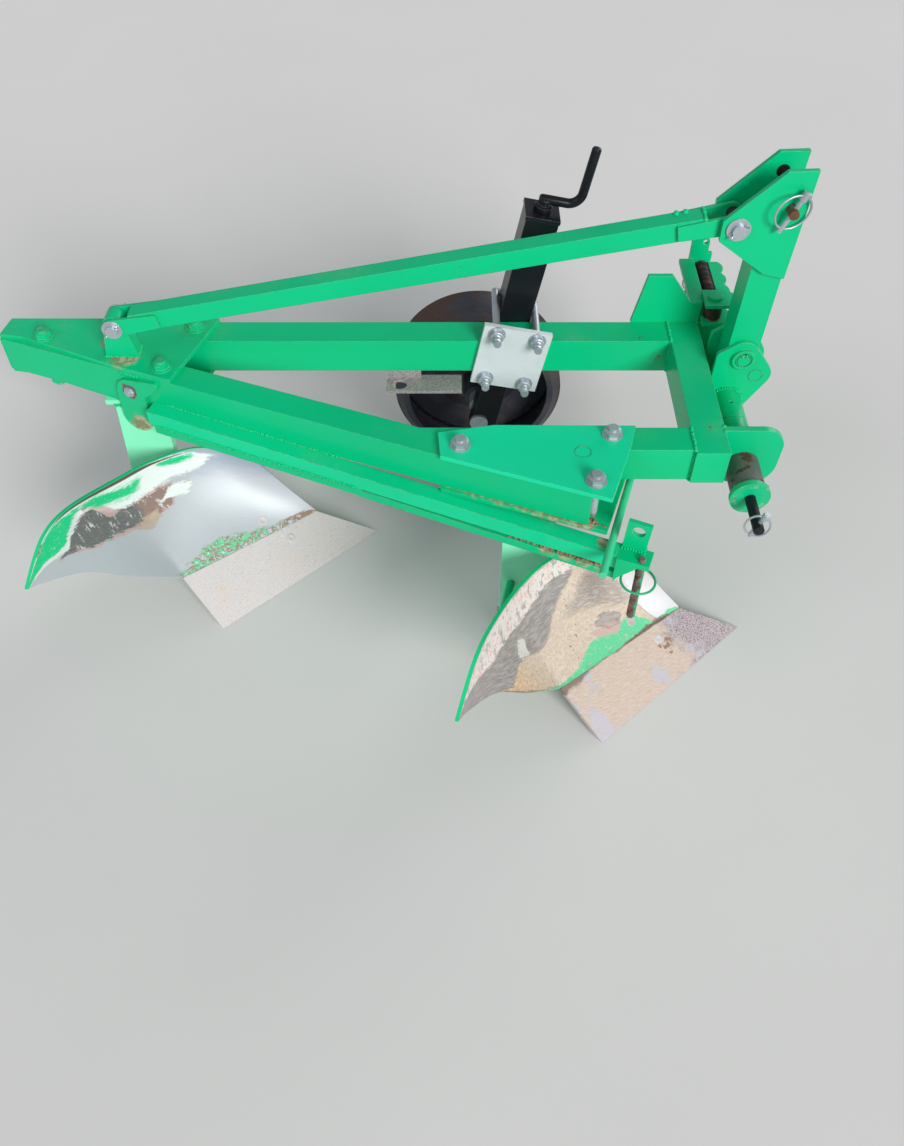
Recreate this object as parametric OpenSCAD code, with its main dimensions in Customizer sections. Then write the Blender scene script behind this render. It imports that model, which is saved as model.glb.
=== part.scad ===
// Two-furrow mounted mouldboard plough, parked on its shares, landsides and depth wheel.
// X runs forward, Y to the left (land side), Z up. All sizes in millimetres.

/* [Frame beams] */
// top face of all frame beams above the ground
beam_top = 507; // [450:1:600]
// height of the beam tubes
beam_height = 80; // [60:1:100]
// wall of the beam tubes
beam_wall = 6; // [4:0.5:8]
// width of the side beam
side_width = 70; // [50:1:90]
// side beam centre line, to the left of the hitch centre
side_y = 83; // [60:1:110]
// width of the cross tube along the travel direction
cross_width = 68; // [50:1:90]
// centre line of the cross tube ahead of the depth wheel datum
cross_x = 515; // [480:1:560]
// right end of the cross tube
cross_right = 309; // [290:1:330]
// left end of the cross tube
cross_left = 170; // [150:1:190]
// centre line of the stub tube to the right of the hitch centre
stub_y = 266; // [250:1:280]
// width of the stub tube
stub_width = 66; // [50:1:80]
// angle of the diagonal beam to the travel direction
diag_angle = 20.98; // [15:0.01:25]
// distance of the diagonal beam's right face from the datum
diag_off = 302.5; // [280:0.5:330]
// width of the diagonal beam
diag_width = 62; // [50:1:80]
// rear end of the diagonal beam
diag_rear = 949; // [900:1:980]
// front end of the diagonal beam
diag_front = 400; // [360:1:440]

/* [Gusset plates] */
// thickness of the gusset plates
gusset_t = 10; // [6:1:14]
// diameter of the frame bolts
bolt_d = 20; // [12:1:24]
// clearance of a bolt in its hole, on the radius
bolt_gap = 0.5; // [0.2:0.1:1]

/* [Plough bodies] */
// cutting point of the front body ahead of the datum
front_x = 663; // [600:1:700]
// landside of the front body, to the right of the hitch centre
front_y = 353; // [330:1:380]
// spacing of the bodies along the travel direction
body_dx = 850; // [800:1:900]
// spacing of the bodies across the travel direction
body_dy = 303; // [290:1:340]
// angle of the cutting edge to the line across the travel direction
share_turn = 221.9; // [218:0.1:226]
// slope of the share to the ground
share_tilt = 36; // [30:0.5:40]
// thickness of the share
share_t = 10; // [6:1:14]
// length of the cutting edge
share_edge = 461; // [430:1:480]
// thickness of the mouldboard
board_t = 7; // [5:0.5:10]
// width of the leg along the travel direction
leg_width = 108; // [90:1:130]
// thickness of the leg
leg_t = 28; // [20:1:40]
// rear edge of the leg behind the cutting point
leg_back = 558; // [520:1:580]
// height of the foot of the leg above the ground
leg_foot = 60; // [40:1:90]
// height where the leg starts to lean towards the land side
leg_kink = 110; // [90:1:150]
// how far the head of the leg stands to the land side of its foot
leg_shift = 47; // [0:1:60]
// length of the landside
landside_len = 520; // [450:1:560]
// height of the landside
landside_h = 98; // [80:1:120]
// thickness of the landside
landside_t = 12; // [8:1:16]

/* [Hitch] */
// cross shaft axis ahead of the datum
shaft_x = 600; // [580:1:620]
// cross shaft axis above the ground
shaft_z = 415; // [400:1:440]
// radius of the cross shaft
shaft_r = 29; // [24:0.5:32]
// half of the spread between the shoulders of the lower link pins
pin_spread = 341.5; // [330:0.5:360]
// radius of the lower link pins
pin_r = 11; // [10:0.5:15]
// length of the lower link pins
pin_len = 90; // [70:1:110]
// radius of the linch pins
linch_r = 5; // [4:0.5:6]
// tilt of the linch pin in the top link pin
linch_tilt = 24; // [0:1:40]
// radius of the ring of that linch pin
linch_ring = 35; // [30:1:40]
// height of the top link pin above the lower link pins
mast_height = 460; // [440:1:500]
// top link pin ahead of the cross shaft
top_pin_dx = 29; // [0:1:60]
// radius of the top link pin
top_pin_r = 9.5; // [9:0.5:13]
// outer radius of the bush
bush_r = 35; // [32:0.5:45]
// outer radius of the flange ring
flange_r = 41; // [38:0.5:55]
// thickness of the flange ring
flange_t = 11; // [6:1:16]
// radial gap of a bore round its shaft
fit_gap = 0.05; // [0.02:0.01:0.1]
// thickness of the shaft ears
ear_t = 14; // [10:1:20]
// left face of the right ear
ear_right_y = -229; // [-240:1:-200]
// right face of the left ear
ear_left_y = 120; // [110:1:130]

/* [Headstock] */
// depth of the post along the travel direction
post_depth = 65; // [60:1:90]
// width of the post
post_width = 64; // [50:1:80]
// forward lean of the post
post_lean = 1.5; // [0:0.5:15]
// wall of the post
post_wall = 6; // [4:0.5:8]
// lower end of the post above the ground
post_foot = 450; // [440:1:480]
// length of the post
post_len = 335; // [300:1:380]
// thickness of the clevis plates and of the foot cheeks
cheek_t = 10; // [8:1:14]
// width of the square tube of the top stay
stay_tube = 40; // [30:1:50]
// wall of the top stay
stay_wall = 4; // [3:0.5:6]
// stay pin behind the cross shaft
stay_pin_dx = -60; // [-90:1:-40]
// stay pin above the lower link pins
stay_pin_dz = 417; // [400:1:440]
// rear pin of the stay behind the datum
stay_rear_x = -706; // [-760:1:-700]
// rear pin of the stay above the ground
stay_rear_z = 594; // [560:1:600]
// radius of the pins of the stay
stay_pin_r = 12; // [9:0.5:14]

/* [Side adjuster and lower bars] */
// adjuster screw ahead of the datum
adjust_x = 578; // [560:1:600]
// adjuster screw above the ground
adjust_z = 541; // [530:1:560]
// gap between the two arms of the post bracket
adjust_gap = 38; // [30:1:50]
// pivot pin of the adjuster, to the left of the hitch centre
adjust_pin_y = 123; // [110:1:130]
// right end of the adjuster channel
channel_start = 156; // [150:1:170]
// left end of the adjuster channel
channel_end = 300; // [280:1:320]
// width of the rail along the diagonal beam
rail_width = 35.5; // [30:0.5:40]
// height of the rail
rail_height = 35; // [30:1:40]
// wall of the rail
rail_wall = 4; // [3:0.5:6]
// slope of the rail, downwards to the front
rail_slope = 2.28; // [2:0.01:2.6]
// rear end of the rail along the diagonal beam
rail_rear = -572; // [-578:1:-560]
// front end of the rail along the diagonal beam
rail_front = 471; // [465:1:480]

/* [Depth wheel] */
// side of the square column
column_side = 70; // [60:1:80]
// wall of the column
column_wall = 5; // [4:0.5:8]
// forward lean of the column
column_lean = 11; // [0:0.5:15]
// column axis ahead of the datum at the middle of the side beam
column_x = 130; // [100:1:160]
// lower end of the column below the middle of the side beam
column_down = 90; // [80:1:120]
// upper end of the column above the middle of the side beam
column_up = 290; // [250:1:320]
// side of the sliding mast
mast_side = 59; // [50:1:60]
// wheel radius
wheel_r = 210; // [180:1:220]
// wheel width
wheel_width = 168; // [120:1:180]
// gap between the column clamp and the wheel
wheel_gap = 34; // [20:1:50]
// axle radius
axle_r = 13; // [11:0.5:13]
// axle behind the middle of the mast
axle_back = 14; // [0:1:14]
// radius of the clamp bolts
ubolt_r = 8; // [6:0.5:10]
// reach of the crank's arm from the column's axis
crank_reach = 72; // [60:1:90]
// length of the crank's handle
crank_grip = 125; // [100:1:150]

/* [Hidden] */
$fn = 48;
SCALLOPS = 3;
beam_bottom = beam_top - beam_height;
leg_rear_x = front_x - leg_back;
function near_y(x) = -diag_off / cos(diag_angle) - x * tan(diag_angle);
beam_mid = beam_top - beam_height / 2;
diag_slope = tan(diag_angle);
cross_back = cross_x - cross_width / 2;
cross_face = cross_x + cross_width / 2;
side_right = side_y - side_width / 2;
side_left = side_y + side_width / 2;
stub_right = -stub_y - stub_width / 2;
stub_left = -stub_y + stub_width / 2;
diag_left = diag_width - diag_off;
top_pin_x = shaft_x + top_pin_dx;
top_pin_z = shaft_z + mast_height;
stay_pin_x = shaft_x + stay_pin_dx;
stay_pin_z = shaft_z + stay_pin_dz;
cheek_y = post_width / 2;
column_y = side_left + column_side / 2;
wheel_right = column_y + column_side / 2 + wheel_gap;
// reach of the mouldboard's wing tip to the right of the landside
wing_reach = 456;
// middle of the whole plough on the ground, moved to the origin
mid_x = (shaft_x + 85 - diag_rear * cos(diag_angle) - diag_off * sin(diag_angle)) / 2;
mid_y = (pin_spread + pin_len - front_y - wing_reach) / 2;
// the two bodies: cutting point x and landside y
FRONT = [front_x, -front_y];
REAR = [front_x - body_dx, body_dy - front_y];
// share outline along the cutting edge and up the slope
SHARE = [[0, 0], [share_edge, 0], [share_edge + 13, 148], [108, 120]];
// mouldboard stations from the shin to the wing: bottom, middle, top, each x, y, z from the point
BOARD = [
  // bottom              middle              top
  [[-145, 0, 71],       [-206, 0, 150],     [-275, 0, 243]],
  [[-240, -75, 76],     [-318, -22, 170],   [-385, -6, 288]],
  [[-335, -150, 82],    [-425, -80, 192],   [-470, -74, 316]],
  [[-430, -225, 88],    [-503, -172, 204],  [-535, -170, 345]],
  [[-505, -292, 172],   [-562, -268, 272],  [-590, -295, 390]],
  [[-580, -346, 250],   [-608, -350, 316],  [-622, -376, 388]],
  [[-645, -438, 316],   [-648, -447, 321],  [-652, -456, 326]]
];

module centred() translate([-mid_x, -mid_y, 0]) children();
// a vertical plate lying in the X Z plane, its right face at y
module upright(y, t) translate([0, y + t, 0]) rotate([90, 0, 0]) linear_extrude(t) children();
// a cylinder along Y from y0 to y1
module across(x, z, y0, y1, r) translate([x, y0, z]) rotate([-90, 0, 0]) cylinder(h = y1 - y0, r = r);
module box(x0, x1, y0, y1, z0, z1) translate([x0, y0, z0]) cube([x1 - x0, y1 - y0, z1 - z0]);
module on_diagonal() rotate([0, 0, -diag_angle]) children();

// Frame
module side_beam() color("green") centred() difference() {
  translate([0, 0, beam_bottom]) linear_extrude(beam_height) polygon([
    [cross_back, side_right], [cross_back, side_left],
    [(diag_left / cos(diag_angle) - side_left) / diag_slope, side_left],
    [(diag_left / cos(diag_angle) - side_right) / diag_slope, side_right]]);
  translate([0, 0, beam_bottom + beam_wall]) linear_extrude(beam_height - 2 * beam_wall) polygon([
    [cross_back + 1, side_right + beam_wall], [cross_back + 1, side_left - beam_wall],
    [(diag_left / cos(diag_angle) - side_left) / diag_slope - 9, side_left - beam_wall],
    [(diag_left / cos(diag_angle) - side_right) / diag_slope - 30, side_right + beam_wall]]);
  frame_holes();
}
module tube(len, w, h, t) difference() {
  translate([0, -w / 2, 0]) cube([len, w, h]);
  translate([-1, t - w / 2, t]) cube([len + 2, w - 2 * t, h - 2 * t]);
}
module diagonal_beam() color("green") centred() difference() {
  on_diagonal() translate([-diag_rear, diag_width / 2 - diag_off, beam_bottom])
    tube(diag_rear + diag_front, diag_width, beam_height, beam_wall);
  frame_holes();
}
module cross_tube() color("green") centred() difference() {
  translate([0, 0, beam_bottom]) linear_extrude(beam_height) polygon([
    [cross_back, -cross_right], [cross_face, -cross_right], [cross_face, cross_left],
        [cross_back, cross_left - 30]]);
  box(cross_back + beam_wall, cross_face - beam_wall, beam_wall - cross_right, cross_left + 1,
    beam_bottom + beam_wall, beam_top - beam_wall);
}
module stub_tube() color("green") centred() difference() {
  translate([0, 0, beam_bottom]) linear_extrude(beam_height) polygon([
    [cross_back, stub_right], [cross_back, stub_left],
    [(diag_left / cos(diag_angle) - stub_left) / diag_slope, stub_left],
    [(diag_left / cos(diag_angle) - stub_right) / diag_slope, stub_right]]);
  box(-200, cross_back + 1, stub_right + beam_wall, stub_left - beam_wall, beam_bottom + beam_wall,
      beam_top - beam_wall);
  frame_holes();
}
// frame bolts: x, y
FRONT_BOLTS = [[16, -297], [318, -stub_y], [274, -396]];
REAR_BOLTS = [[-893, 52], [-566, 83], [-615, -55]];
module frame_holes() for (p = concat(FRONT_BOLTS, REAR_BOLTS))
  translate([p[0], p[1], beam_bottom - 40]) cylinder(h = beam_height + 80, r = bolt_d / 2 + bolt_gap);
module front_gusset(z) difference() {
  translate([0, 0, z]) linear_extrude(gusset_t) polygon([
    [-28, -258], [84, -236], [368, -238], [352, -298], [301, -443], [-23, -326]]);
  frame_holes();
}
// rear end of the side beam, on its left face
side_rear = (diag_left / cos(diag_angle) - side_left) / diag_slope;
module rear_gusset(z) difference() {
  translate([0, 0, z]) linear_extrude(gusset_t) polygon([
    [side_rear - 13, side_left - 58], [side_rear - 2, side_left], [side_rear + 461, side_left],
        [side_rear + 438, side_right],
    [side_rear + 387, near_y(side_rear + 387)], [side_rear + 279, near_y(side_rear + 279)],
        [side_rear + 40, side_right + 2]]);
  frame_holes();
}
module front_gusset_top() color("green") centred() front_gusset(beam_top);
module front_gusset_bottom() color("green") centred() front_gusset(beam_bottom - gusset_t);
module rear_gusset_top() color("green") centred() rear_gusset(beam_top);
module rear_gusset_bottom() color("green") centred() rear_gusset(beam_bottom - gusset_t);
bolt_over = 20;
module frame_bolt(p) translate([p[0], p[1], 0]) {
  translate([0, 0, beam_bottom - gusset_t - bolt_over])
      cylinder(h = beam_height + 2 * (gusset_t + bolt_over), r = bolt_d / 2);
  translate([0, 0, beam_top + gusset_t]) cylinder(h = bolt_d * 0.6, r = bolt_d * 0.85, $fn = 6);
  translate([0, 0, beam_bottom - gusset_t - bolt_d * 0.8]) cylinder(h = bolt_d * 0.8, r = bolt_d * 0.85,
      $fn = 6);
}
module frame_bolts() color("silver") centred() for (p = concat(FRONT_BOLTS, REAR_BOLTS)) frame_bolt(p);

// Hitch
module ear_plate(y) difference() {
  upright(y, ear_t) difference() {
    hull() {
      translate([cross_face, beam_bottom]) square([10, beam_height]);
      translate([shaft_x + 30, beam_top - 46]) circle(46);
      translate([shaft_x + 16, shaft_z]) circle(58);
      translate([cross_face, shaft_z - 40]) square([10, 40]);
    }
    translate([shaft_x, shaft_z]) circle(shaft_r + fit_gap);
    translate([cross_face - 100, shaft_z - 200]) square([100, 400]);
  }
}
module shaft_ear_right() color("green") centred() ear_plate(ear_right_y - ear_t);
module shaft_ear_left() color("green") centred() ear_plate(ear_left_y);
module cross_shaft() color("green") centred() across(shaft_x, shaft_z, -pin_spread, pin_spread, shaft_r);
module sleeve(y0, y1, r) difference() {
  across(shaft_x, shaft_z, y0, y1, r);
  across(shaft_x, shaft_z, y0 - 1, y1 + 1, shaft_r + fit_gap);
}
module bush_right() color("sienna") centred() {
  sleeve(flange_t - pin_spread, ear_right_y - ear_t, bush_r);
  sleeve(-pin_spread, flange_t - pin_spread, flange_r);
}
module bush_left() color("sienna") centred() {
  sleeve(ear_left_y + ear_t, pin_spread - flange_t, bush_r);
  sleeve(pin_spread - flange_t, pin_spread, flange_r);
}
// green sleeves on the shaft between the right cheek and the right ear, with a hole for a set screw
sleeve_end = -131;
module shaft_sleeves() color("green") centred() difference() {
  union() {
    sleeve(sleeve_end + 1, -cheek_out, bush_r);
    sleeve(ear_right_y, sleeve_end - 1, bush_r);
  }
  translate([shaft_x, (sleeve_end - cheek_out) / 2, shaft_z]) cylinder(h = bush_r + 10, r = 3.5);
}
// distance of a linch pin's hole from the end of its link pin
linch_in = 14;
module lower_pin(side) {
  near = side > 0 ? pin_spread : -pin_spread - pin_len;
  difference() {
    across(shaft_x, shaft_z, near, near + pin_len, pin_r);
    translate([shaft_x, side * (pin_spread + pin_len - linch_in), shaft_z]) rotate([0, side > 0 ? 0 : 20, 0])
      cylinder(h = 60, r = linch_r + fit_gap, center = true);
  }
}
module lower_pin_right() color("dimgray") centred() lower_pin(-1);
module lower_pin_left() color("dimgray") centred() lower_pin(1);

// Headstock
// pin through the foot of the post, from the cross shaft's axis
foot_pin_at = [16, 115];
foot_pin_r = 13;
// height of the boss round that pin
foot_boss = 7;
cheek_out = cheek_y + cheek_t;
module at_foot_pin(y0, y1, r) across(shaft_x + foot_pin_at[0], shaft_z + foot_pin_at[1], y0, y1, r);
module foot_cheek(y) upright(y, cheek_t) difference() {
  hull() {
    translate([shaft_x, shaft_z]) circle(shaft_r + 14);
    translate([shaft_x + 14, shaft_z + 122]) circle(34);
    translate([shaft_x + 51, shaft_z + 72]) circle(34);
    translate([shaft_x - 30, shaft_z + 120]) circle(10);
  }
  translate([shaft_x, shaft_z]) circle(shaft_r + fit_gap);
  translate([shaft_x + foot_pin_at[0], shaft_z + foot_pin_at[1]]) circle(foot_pin_r + fit_gap);
}
module foot_cheek_right() color("green") centred() {
  foot_cheek(-cheek_out);
  // raised boss round the pin's end
  difference() {
    at_foot_pin(-cheek_out - foot_boss, -cheek_out, foot_pin_r + 11);
    at_foot_pin(-cheek_out - foot_boss - 1, -cheek_out, foot_pin_r + 5);
  }
}
module foot_cheek_left() color("green") centred() foot_cheek(cheek_y);
module foot_pin() color("green") centred() at_foot_pin(-cheek_out - foot_boss, cheek_out, foot_pin_r);
// middle of the post ahead of the cross shaft, at its lower end
post_dx = 12;
module post() color("green") centred() difference() {
  translate([shaft_x + post_dx, 0, post_foot]) multmatrix([[1, 0, tan(post_lean), 0], [0, 1, 0, 0],
      [0, 0, 1, 0]])
    translate([-post_depth / 2, -post_width / 2, 0]) difference() {
      cube([post_depth, post_width, post_len]);
      translate([post_wall, post_wall, -1]) cube([post_depth - 2 * post_wall, post_width - 2 * post_wall,
          post_len + 2]);
    }
  at_foot_pin(-cheek_out, cheek_out, foot_pin_r + fit_gap);
}
module clevis_plate(y) upright(y, cheek_t) difference() {
  polygon([[stay_pin_x - 31, stay_pin_z - 26], [stay_pin_x - 31, stay_pin_z + 16],
      [top_pin_x - 22, top_pin_z + 71],
    [top_pin_x + 34, top_pin_z + 73], [top_pin_x + 24, top_pin_z - 151], [top_pin_x - 20, top_pin_z - 140]]);
  translate([stay_pin_x, stay_pin_z]) circle(stay_pin_r + fit_gap);
  translate([top_pin_x, top_pin_z]) circle(top_pin_r + fit_gap);
}
module clevis_plate_right() color("green") centred() clevis_plate(-cheek_out);
module clevis_plate_left() color("green") centred() clevis_plate(cheek_y);
module top_link_pin() color("sienna") centred() difference() {
  union() {
    across(top_pin_x, top_pin_z, -cheek_out - 26, cheek_out + 10, top_pin_r);
    across(top_pin_x, top_pin_z, cheek_out + 0.3, cheek_out + 10, top_pin_r + 6);
  }
  translate([top_pin_x, -cheek_out - linch_in, top_pin_z]) rotate([0, linch_tilt, 0])
    cylinder(h = 60, r = linch_r + fit_gap, center = true);
}
// spring pin through the top link pin, with its ring swung over the pin's end
module top_linch_pin() color("silver") centred() translate([top_pin_x, -cheek_out - linch_in, top_pin_z])
  rotate([0, linch_tilt, 0]) rotate([0, 0, 14]) {
    translate([0, 0, -linch_ring - 8]) cylinder(h = 2 * linch_ring + 8, r = linch_r);
    translate([0, 0, linch_ring - 8]) cylinder(h = 16, r = linch_r + 3);
    rotate([90, 0, 0]) rotate_extrude() translate([linch_ring, 0]) circle(2.2);
  }
stay_len = sqrt(pow(stay_pin_x - stay_rear_x, 2) + pow(stay_pin_z - stay_rear_z, 2));
stay_pitch = atan2(stay_pin_z - stay_rear_z, stay_pin_x - stay_rear_x);
module top_stay() color("green") centred() translate([stay_rear_x, 0, stay_rear_z]) rotate([0, -stay_pitch,
    0]) difference() {
  union() {
    translate([40, 0, -stay_tube / 2]) tube(stay_len - 100, stay_tube, stay_tube, stay_wall);
    for (s = [-1, 1]) {
      translate([0, s * (stay_tube / 2 + 4) + 4, 0]) rotate([90, 0, 0]) linear_extrude(8) hull() {
        circle(20);
        translate([60, -15]) square([40, 30]);
      }
      translate([stay_len, s * (stay_tube / 2 + 4) + 4, 0]) rotate([90, 0, 0]) linear_extrude(8) hull() {
        circle(20);
        translate([-110, -15]) square([40, 30]);
      }
    }
  }
  for (x = [0, stay_len]) translate([x, 60, 0]) rotate([90, 0, 0]) cylinder(h = 120,
      r = stay_pin_r + fit_gap);
}
module stay_rear_lug() color("green") centred() upright(-stay_tube / 2 + 2, stay_tube - 4) difference() {
  hull() {
    translate([stay_rear_x, stay_rear_z]) circle(22);
    translate([stay_rear_x - 34, beam_top + gusset_t]) square([68, 5]);
  }
  translate([stay_rear_x, stay_rear_z]) circle(stay_pin_r + fit_gap);
}
module stay_pins() color("silver") centred() {
  across(stay_pin_x, stay_pin_z, -cheek_out - 12, cheek_out + 12, stay_pin_r);
  across(stay_rear_x, stay_rear_z, -stay_tube / 2 - 20, stay_tube / 2 + 20, stay_pin_r);
}

// Plough bodies
module at_body(b) translate([b[0], b[1], 0]) children();
// thickness of the plate on top of the leg
head_t = 12;
module leg() {
  head = beam_bottom - gusset_t - head_t;
  translate([-leg_back, 0, 0]) rotate([90, 0, 90]) linear_extrude(leg_width) polygon([
    [-landside_t - leg_t, leg_foot], [-landside_t, leg_foot], [-landside_t, leg_kink],
    [leg_shift - landside_t, head], [leg_shift - landside_t, head + head_t],
    [leg_shift - landside_t - leg_t, head + head_t], [leg_shift - landside_t - leg_t, head],
        [-landside_t - leg_t, leg_kink]]);
  translate([0, 0, head]) linear_extrude(head_t) polygon([
    [-leg_back - 20, leg_shift - landside_t - leg_t],
        [leg_width - leg_back - 4, leg_shift - landside_t - leg_t],
    [leg_width - leg_back - 4, 40], [-leg_back - 20, 60]]);
}
module front_leg() color("green") centred() at_body(FRONT) leg();
module rear_leg() color("green") centred() at_body(REAR) leg();
module share() difference() {
  rotate([0, 0, share_turn]) rotate([-share_tilt, 0, 0]) translate([0, 0, -share_t]) linear_extrude(share_t)
    polygon([for (p = SHARE) [p[0], -p[1]]]);
  translate([-500, -500, -100]) cube([600, 600, 100]);
}
module landside() upright(-landside_t, landside_t) polygon([
  [-70, 0], [-landside_len - 40, 0], [-landside_len - 40, landside_h - 20], [-landside_len + 60, landside_h],
  [-242, landside_h], [-70, 14]]);
// mouldboard surface: u runs over the stations, v from 0 at the bottom to 1 at the top
STEPS = 3;
ROWS = 8;
LAST = len(BOARD) - 1;
function blend(a, b, c, d, t) = 0.5 * (2 * b + (c - a) * t + (2 * a - 5 * b + 4 * c - d) * t * t
  + (3 * b - a - 3 * c + d) * t * t * t);
function along(k, u) = let (i = min(floor(u), LAST - 1), t = u - i, first = k == 0 && i > 2 ? 3 : 0)
  k == 0 && i < 3 ? BOARD[0][0] + (BOARD[3][0] - BOARD[0][0]) * u / 3
  : blend(BOARD[max(i - 1, first)][k], BOARD[i][k], BOARD[i + 1][k], BOARD[min(i + 2, LAST)][k], t);
function face_at(u, v) = along(0, u) * (2 * v - 1) * (v - 1) + along(1, u) * 4 * v * (1 - v) + along(2, u)
    * v * (2 * v - 1);
function unit(a) = a / norm(a);
function normal_at(u, v) = unit(cross(
  face_at(min(u + 0.01, LAST), v) - face_at(max(u - 0.01, 0), v),
  face_at(u, min(v + 0.01, 1)) - face_at(u, max(v - 0.01, 0))));
// closed skin between two grids of points, each with rows + 1 points a column
module skin(front, back, cols, rows) {
  n = (cols + 1) * (rows + 1);
  quads = concat(
    [for (i = [0:cols - 1], j = [0:rows - 1]) let (a = i * (rows + 1) + j, b = a + rows + 1) [a, b, b + 1,
        a + 1]],
    [for (i = [0:cols - 1], j = [0:rows - 1]) let (a = n + i * (rows + 1) + j, b = a + rows + 1) [a + 1,
        b + 1, b, a]],
    [for (i = [0:cols - 1]) let (a = i * (rows + 1), b = a + rows + 1) [a, n + a, n + b, b]],
    [for (i = [0:cols - 1]) let (a = i * (rows + 1) + rows, b = a + rows + 1) [b, n + b, n + a, a]],
    [for (j = [0:rows - 1]) [j, j + 1, n + j + 1, n + j]],
    [for (j = [0:rows - 1]) let (a = cols * (rows + 1) + j) [n + a, n + a + 1, a + 1, a]]);
  polyhedron(concat(front, back), [for (q = quads, k = [0, 1]) k == 0 ? [q[0], q[1], q[2]] : [q[0], q[2],
      q[3]]]);
}
module mouldboard() {
  cols = LAST * STEPS;
  grid = [for (i = [0:cols], j = [0:ROWS]) [i / STEPS, j / ROWS]];
  skin([for (g = grid) face_at(g[0], g[1])],
    [for (g = grid) face_at(g[0], g[1]) + board_t * normal_at(g[0], g[1])], cols, ROWS);
}
// everything ahead of the back of the mouldboard near the shin, with a small gap
module board_space() {
  cols = 3 * STEPS;
  grid = [for (i = [0:cols], j = [0:ROWS]) [i / STEPS, j / ROWS]];
  skin([for (g = grid) face_at(g[0], g[1]) + (board_t + 0.3) * normal_at(g[0], g[1]) + [170, 0, 0]],
    [for (g = grid) face_at(g[0], g[1]) + (board_t + 0.3) * normal_at(g[0], g[1])], cols, ROWS);
}
module share_space() rotate([0, 0, share_turn]) rotate([-share_tilt, 0, 0]) translate([0, 0, -share_t - 0.2])
  linear_extrude(180) polygon([[-60, 20], [share_edge, 20], [share_edge, -128], [-60, -128]]);
module frog() difference() {
  upright(-landside_t - leg_t, leg_t) polygon([[leg_width - leg_back, 14], [-90, 14], [-150, 90], [-252, 200],
    [-330, 262], [leg_width - leg_back, 262]]);
  board_space();
  share_space();
}
module front_frog() color("green") centred() at_body(FRONT) frog();
module rear_frog() color("green") centred() at_body(REAR) frog();
module front_share() color("silver") centred() at_body(FRONT) share();
module rear_share() color("silver") centred() at_body(REAR) share();
module front_mouldboard() color("lightgray") centred() at_body(FRONT) mouldboard();
module rear_mouldboard() color("lightgray") centred() at_body(REAR) mouldboard();
module front_landside() color("gray") centred() at_body(FRONT) landside();
module rear_landside() color("gray") centred() at_body(REAR) landside();

// Side adjuster, whose screw shifts the frame on the cross shaft
bracket_t = 8;
module post_bracket() color("green") centred() difference() {
  for (z = [adjust_z - adjust_gap / 2 - bracket_t, adjust_z + adjust_gap / 2]) translate([0, 0, z])
    linear_extrude(bracket_t) polygon([
      [cross_face + 4, 92], [shaft_x + 12, 92], [shaft_x + 12, cheek_out], [shaft_x + 38, cheek_out],
      [shaft_x + 38, 120], [adjust_x + 30, 152], [cross_face + 4, 152]]);
  translate([adjust_x, adjust_pin_y, adjust_z - 60]) cylinder(h = 120, r = 11 + fit_gap);
}
module adjuster_pin() color("green") centred() {
  translate([adjust_x, adjust_pin_y, adjust_z - adjust_gap / 2 - 12]) cylinder(h = adjust_gap + 24, r = 11);
  translate([adjust_x, adjust_pin_y, adjust_z + adjust_gap / 2 + 8]) cylinder(h = 6, r = 16);
}
module adjuster_spindle() color("sienna") centred() difference() {
  union() {
    translate([adjust_x, adjust_pin_y, adjust_z - adjust_gap / 2 + 0.2]) cylinder(h = adjust_gap - 0.4,
        r = 20);
    across(adjust_x, adjust_z, adjust_pin_y, channel_end - 10 - fit_gap, 13);
  }
  translate([adjust_x, adjust_pin_y, adjust_z - 60]) cylinder(h = 120, r = 11 + fit_gap);
}
// channel with a scalloped front flange and a round-topped end plate
// width over the channel's walls and height of its rear wall
channel_w = 49;
channel_h = 48;
channel_floor = adjust_z - 31;
channel_last = channel_end - 10;
module adjuster_channel() color("green") centred() {
  scallop = (channel_last - channel_start) / SCALLOPS;
  box(cross_face, cross_face + 8, channel_start, channel_last, channel_floor, channel_floor + channel_h);
  // flange on the rear wall, out to the gusset
  box(cross_face - 24, cross_face + 6, side_left + 10, channel_last, channel_floor + channel_h - 10, channel_floor + channel_h);
  box(cross_face + 8, cross_face + channel_w - 6, channel_start, channel_last, channel_floor, channel_floor + 8);
  box(cross_face + channel_w - 6, cross_face + channel_w, channel_start, channel_last, channel_floor, channel_floor + 40);
  translate([0, 0, channel_floor + 32]) linear_extrude(8) intersection() {
    translate([cross_face + channel_w - 1, channel_start]) square([60, channel_last - channel_start]);
    union() for (k = [0:SCALLOPS - 1])
      translate([cross_face + channel_w - 4, channel_start + (k + 0.5) * scallop]) circle(29);
  }
  // end plate with a lug
  upright(channel_last, 10) difference() {
    union() {
      translate([cross_face, channel_floor]) square([channel_w, 62]);
      translate([cross_face - 1, channel_floor + 40]) square([40, 49]);
      translate([cross_face + 19, channel_floor + 89]) circle(20);
    }
    translate([cross_face + 29, channel_floor + 90]) circle(6);
  }
}
module adjuster_gusset() color("green") centred() upright(side_left, 10) polygon([
  [cross_back - 82, beam_top], [cross_back - 58, beam_top + 118], [cross_back - 6, beam_top + 118],
  [cross_face - 24, channel_floor + channel_h], [cross_face + 3, channel_floor + channel_h],
  [cross_face + 3, channel_floor + channel_h - 10], [cross_face, beam_top + 20], [cross_face, beam_top],
  [cross_back, beam_top - 0.01], [cross_back - 2, beam_top - 60], [cross_back - 60, beam_top - 60]]);

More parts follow.
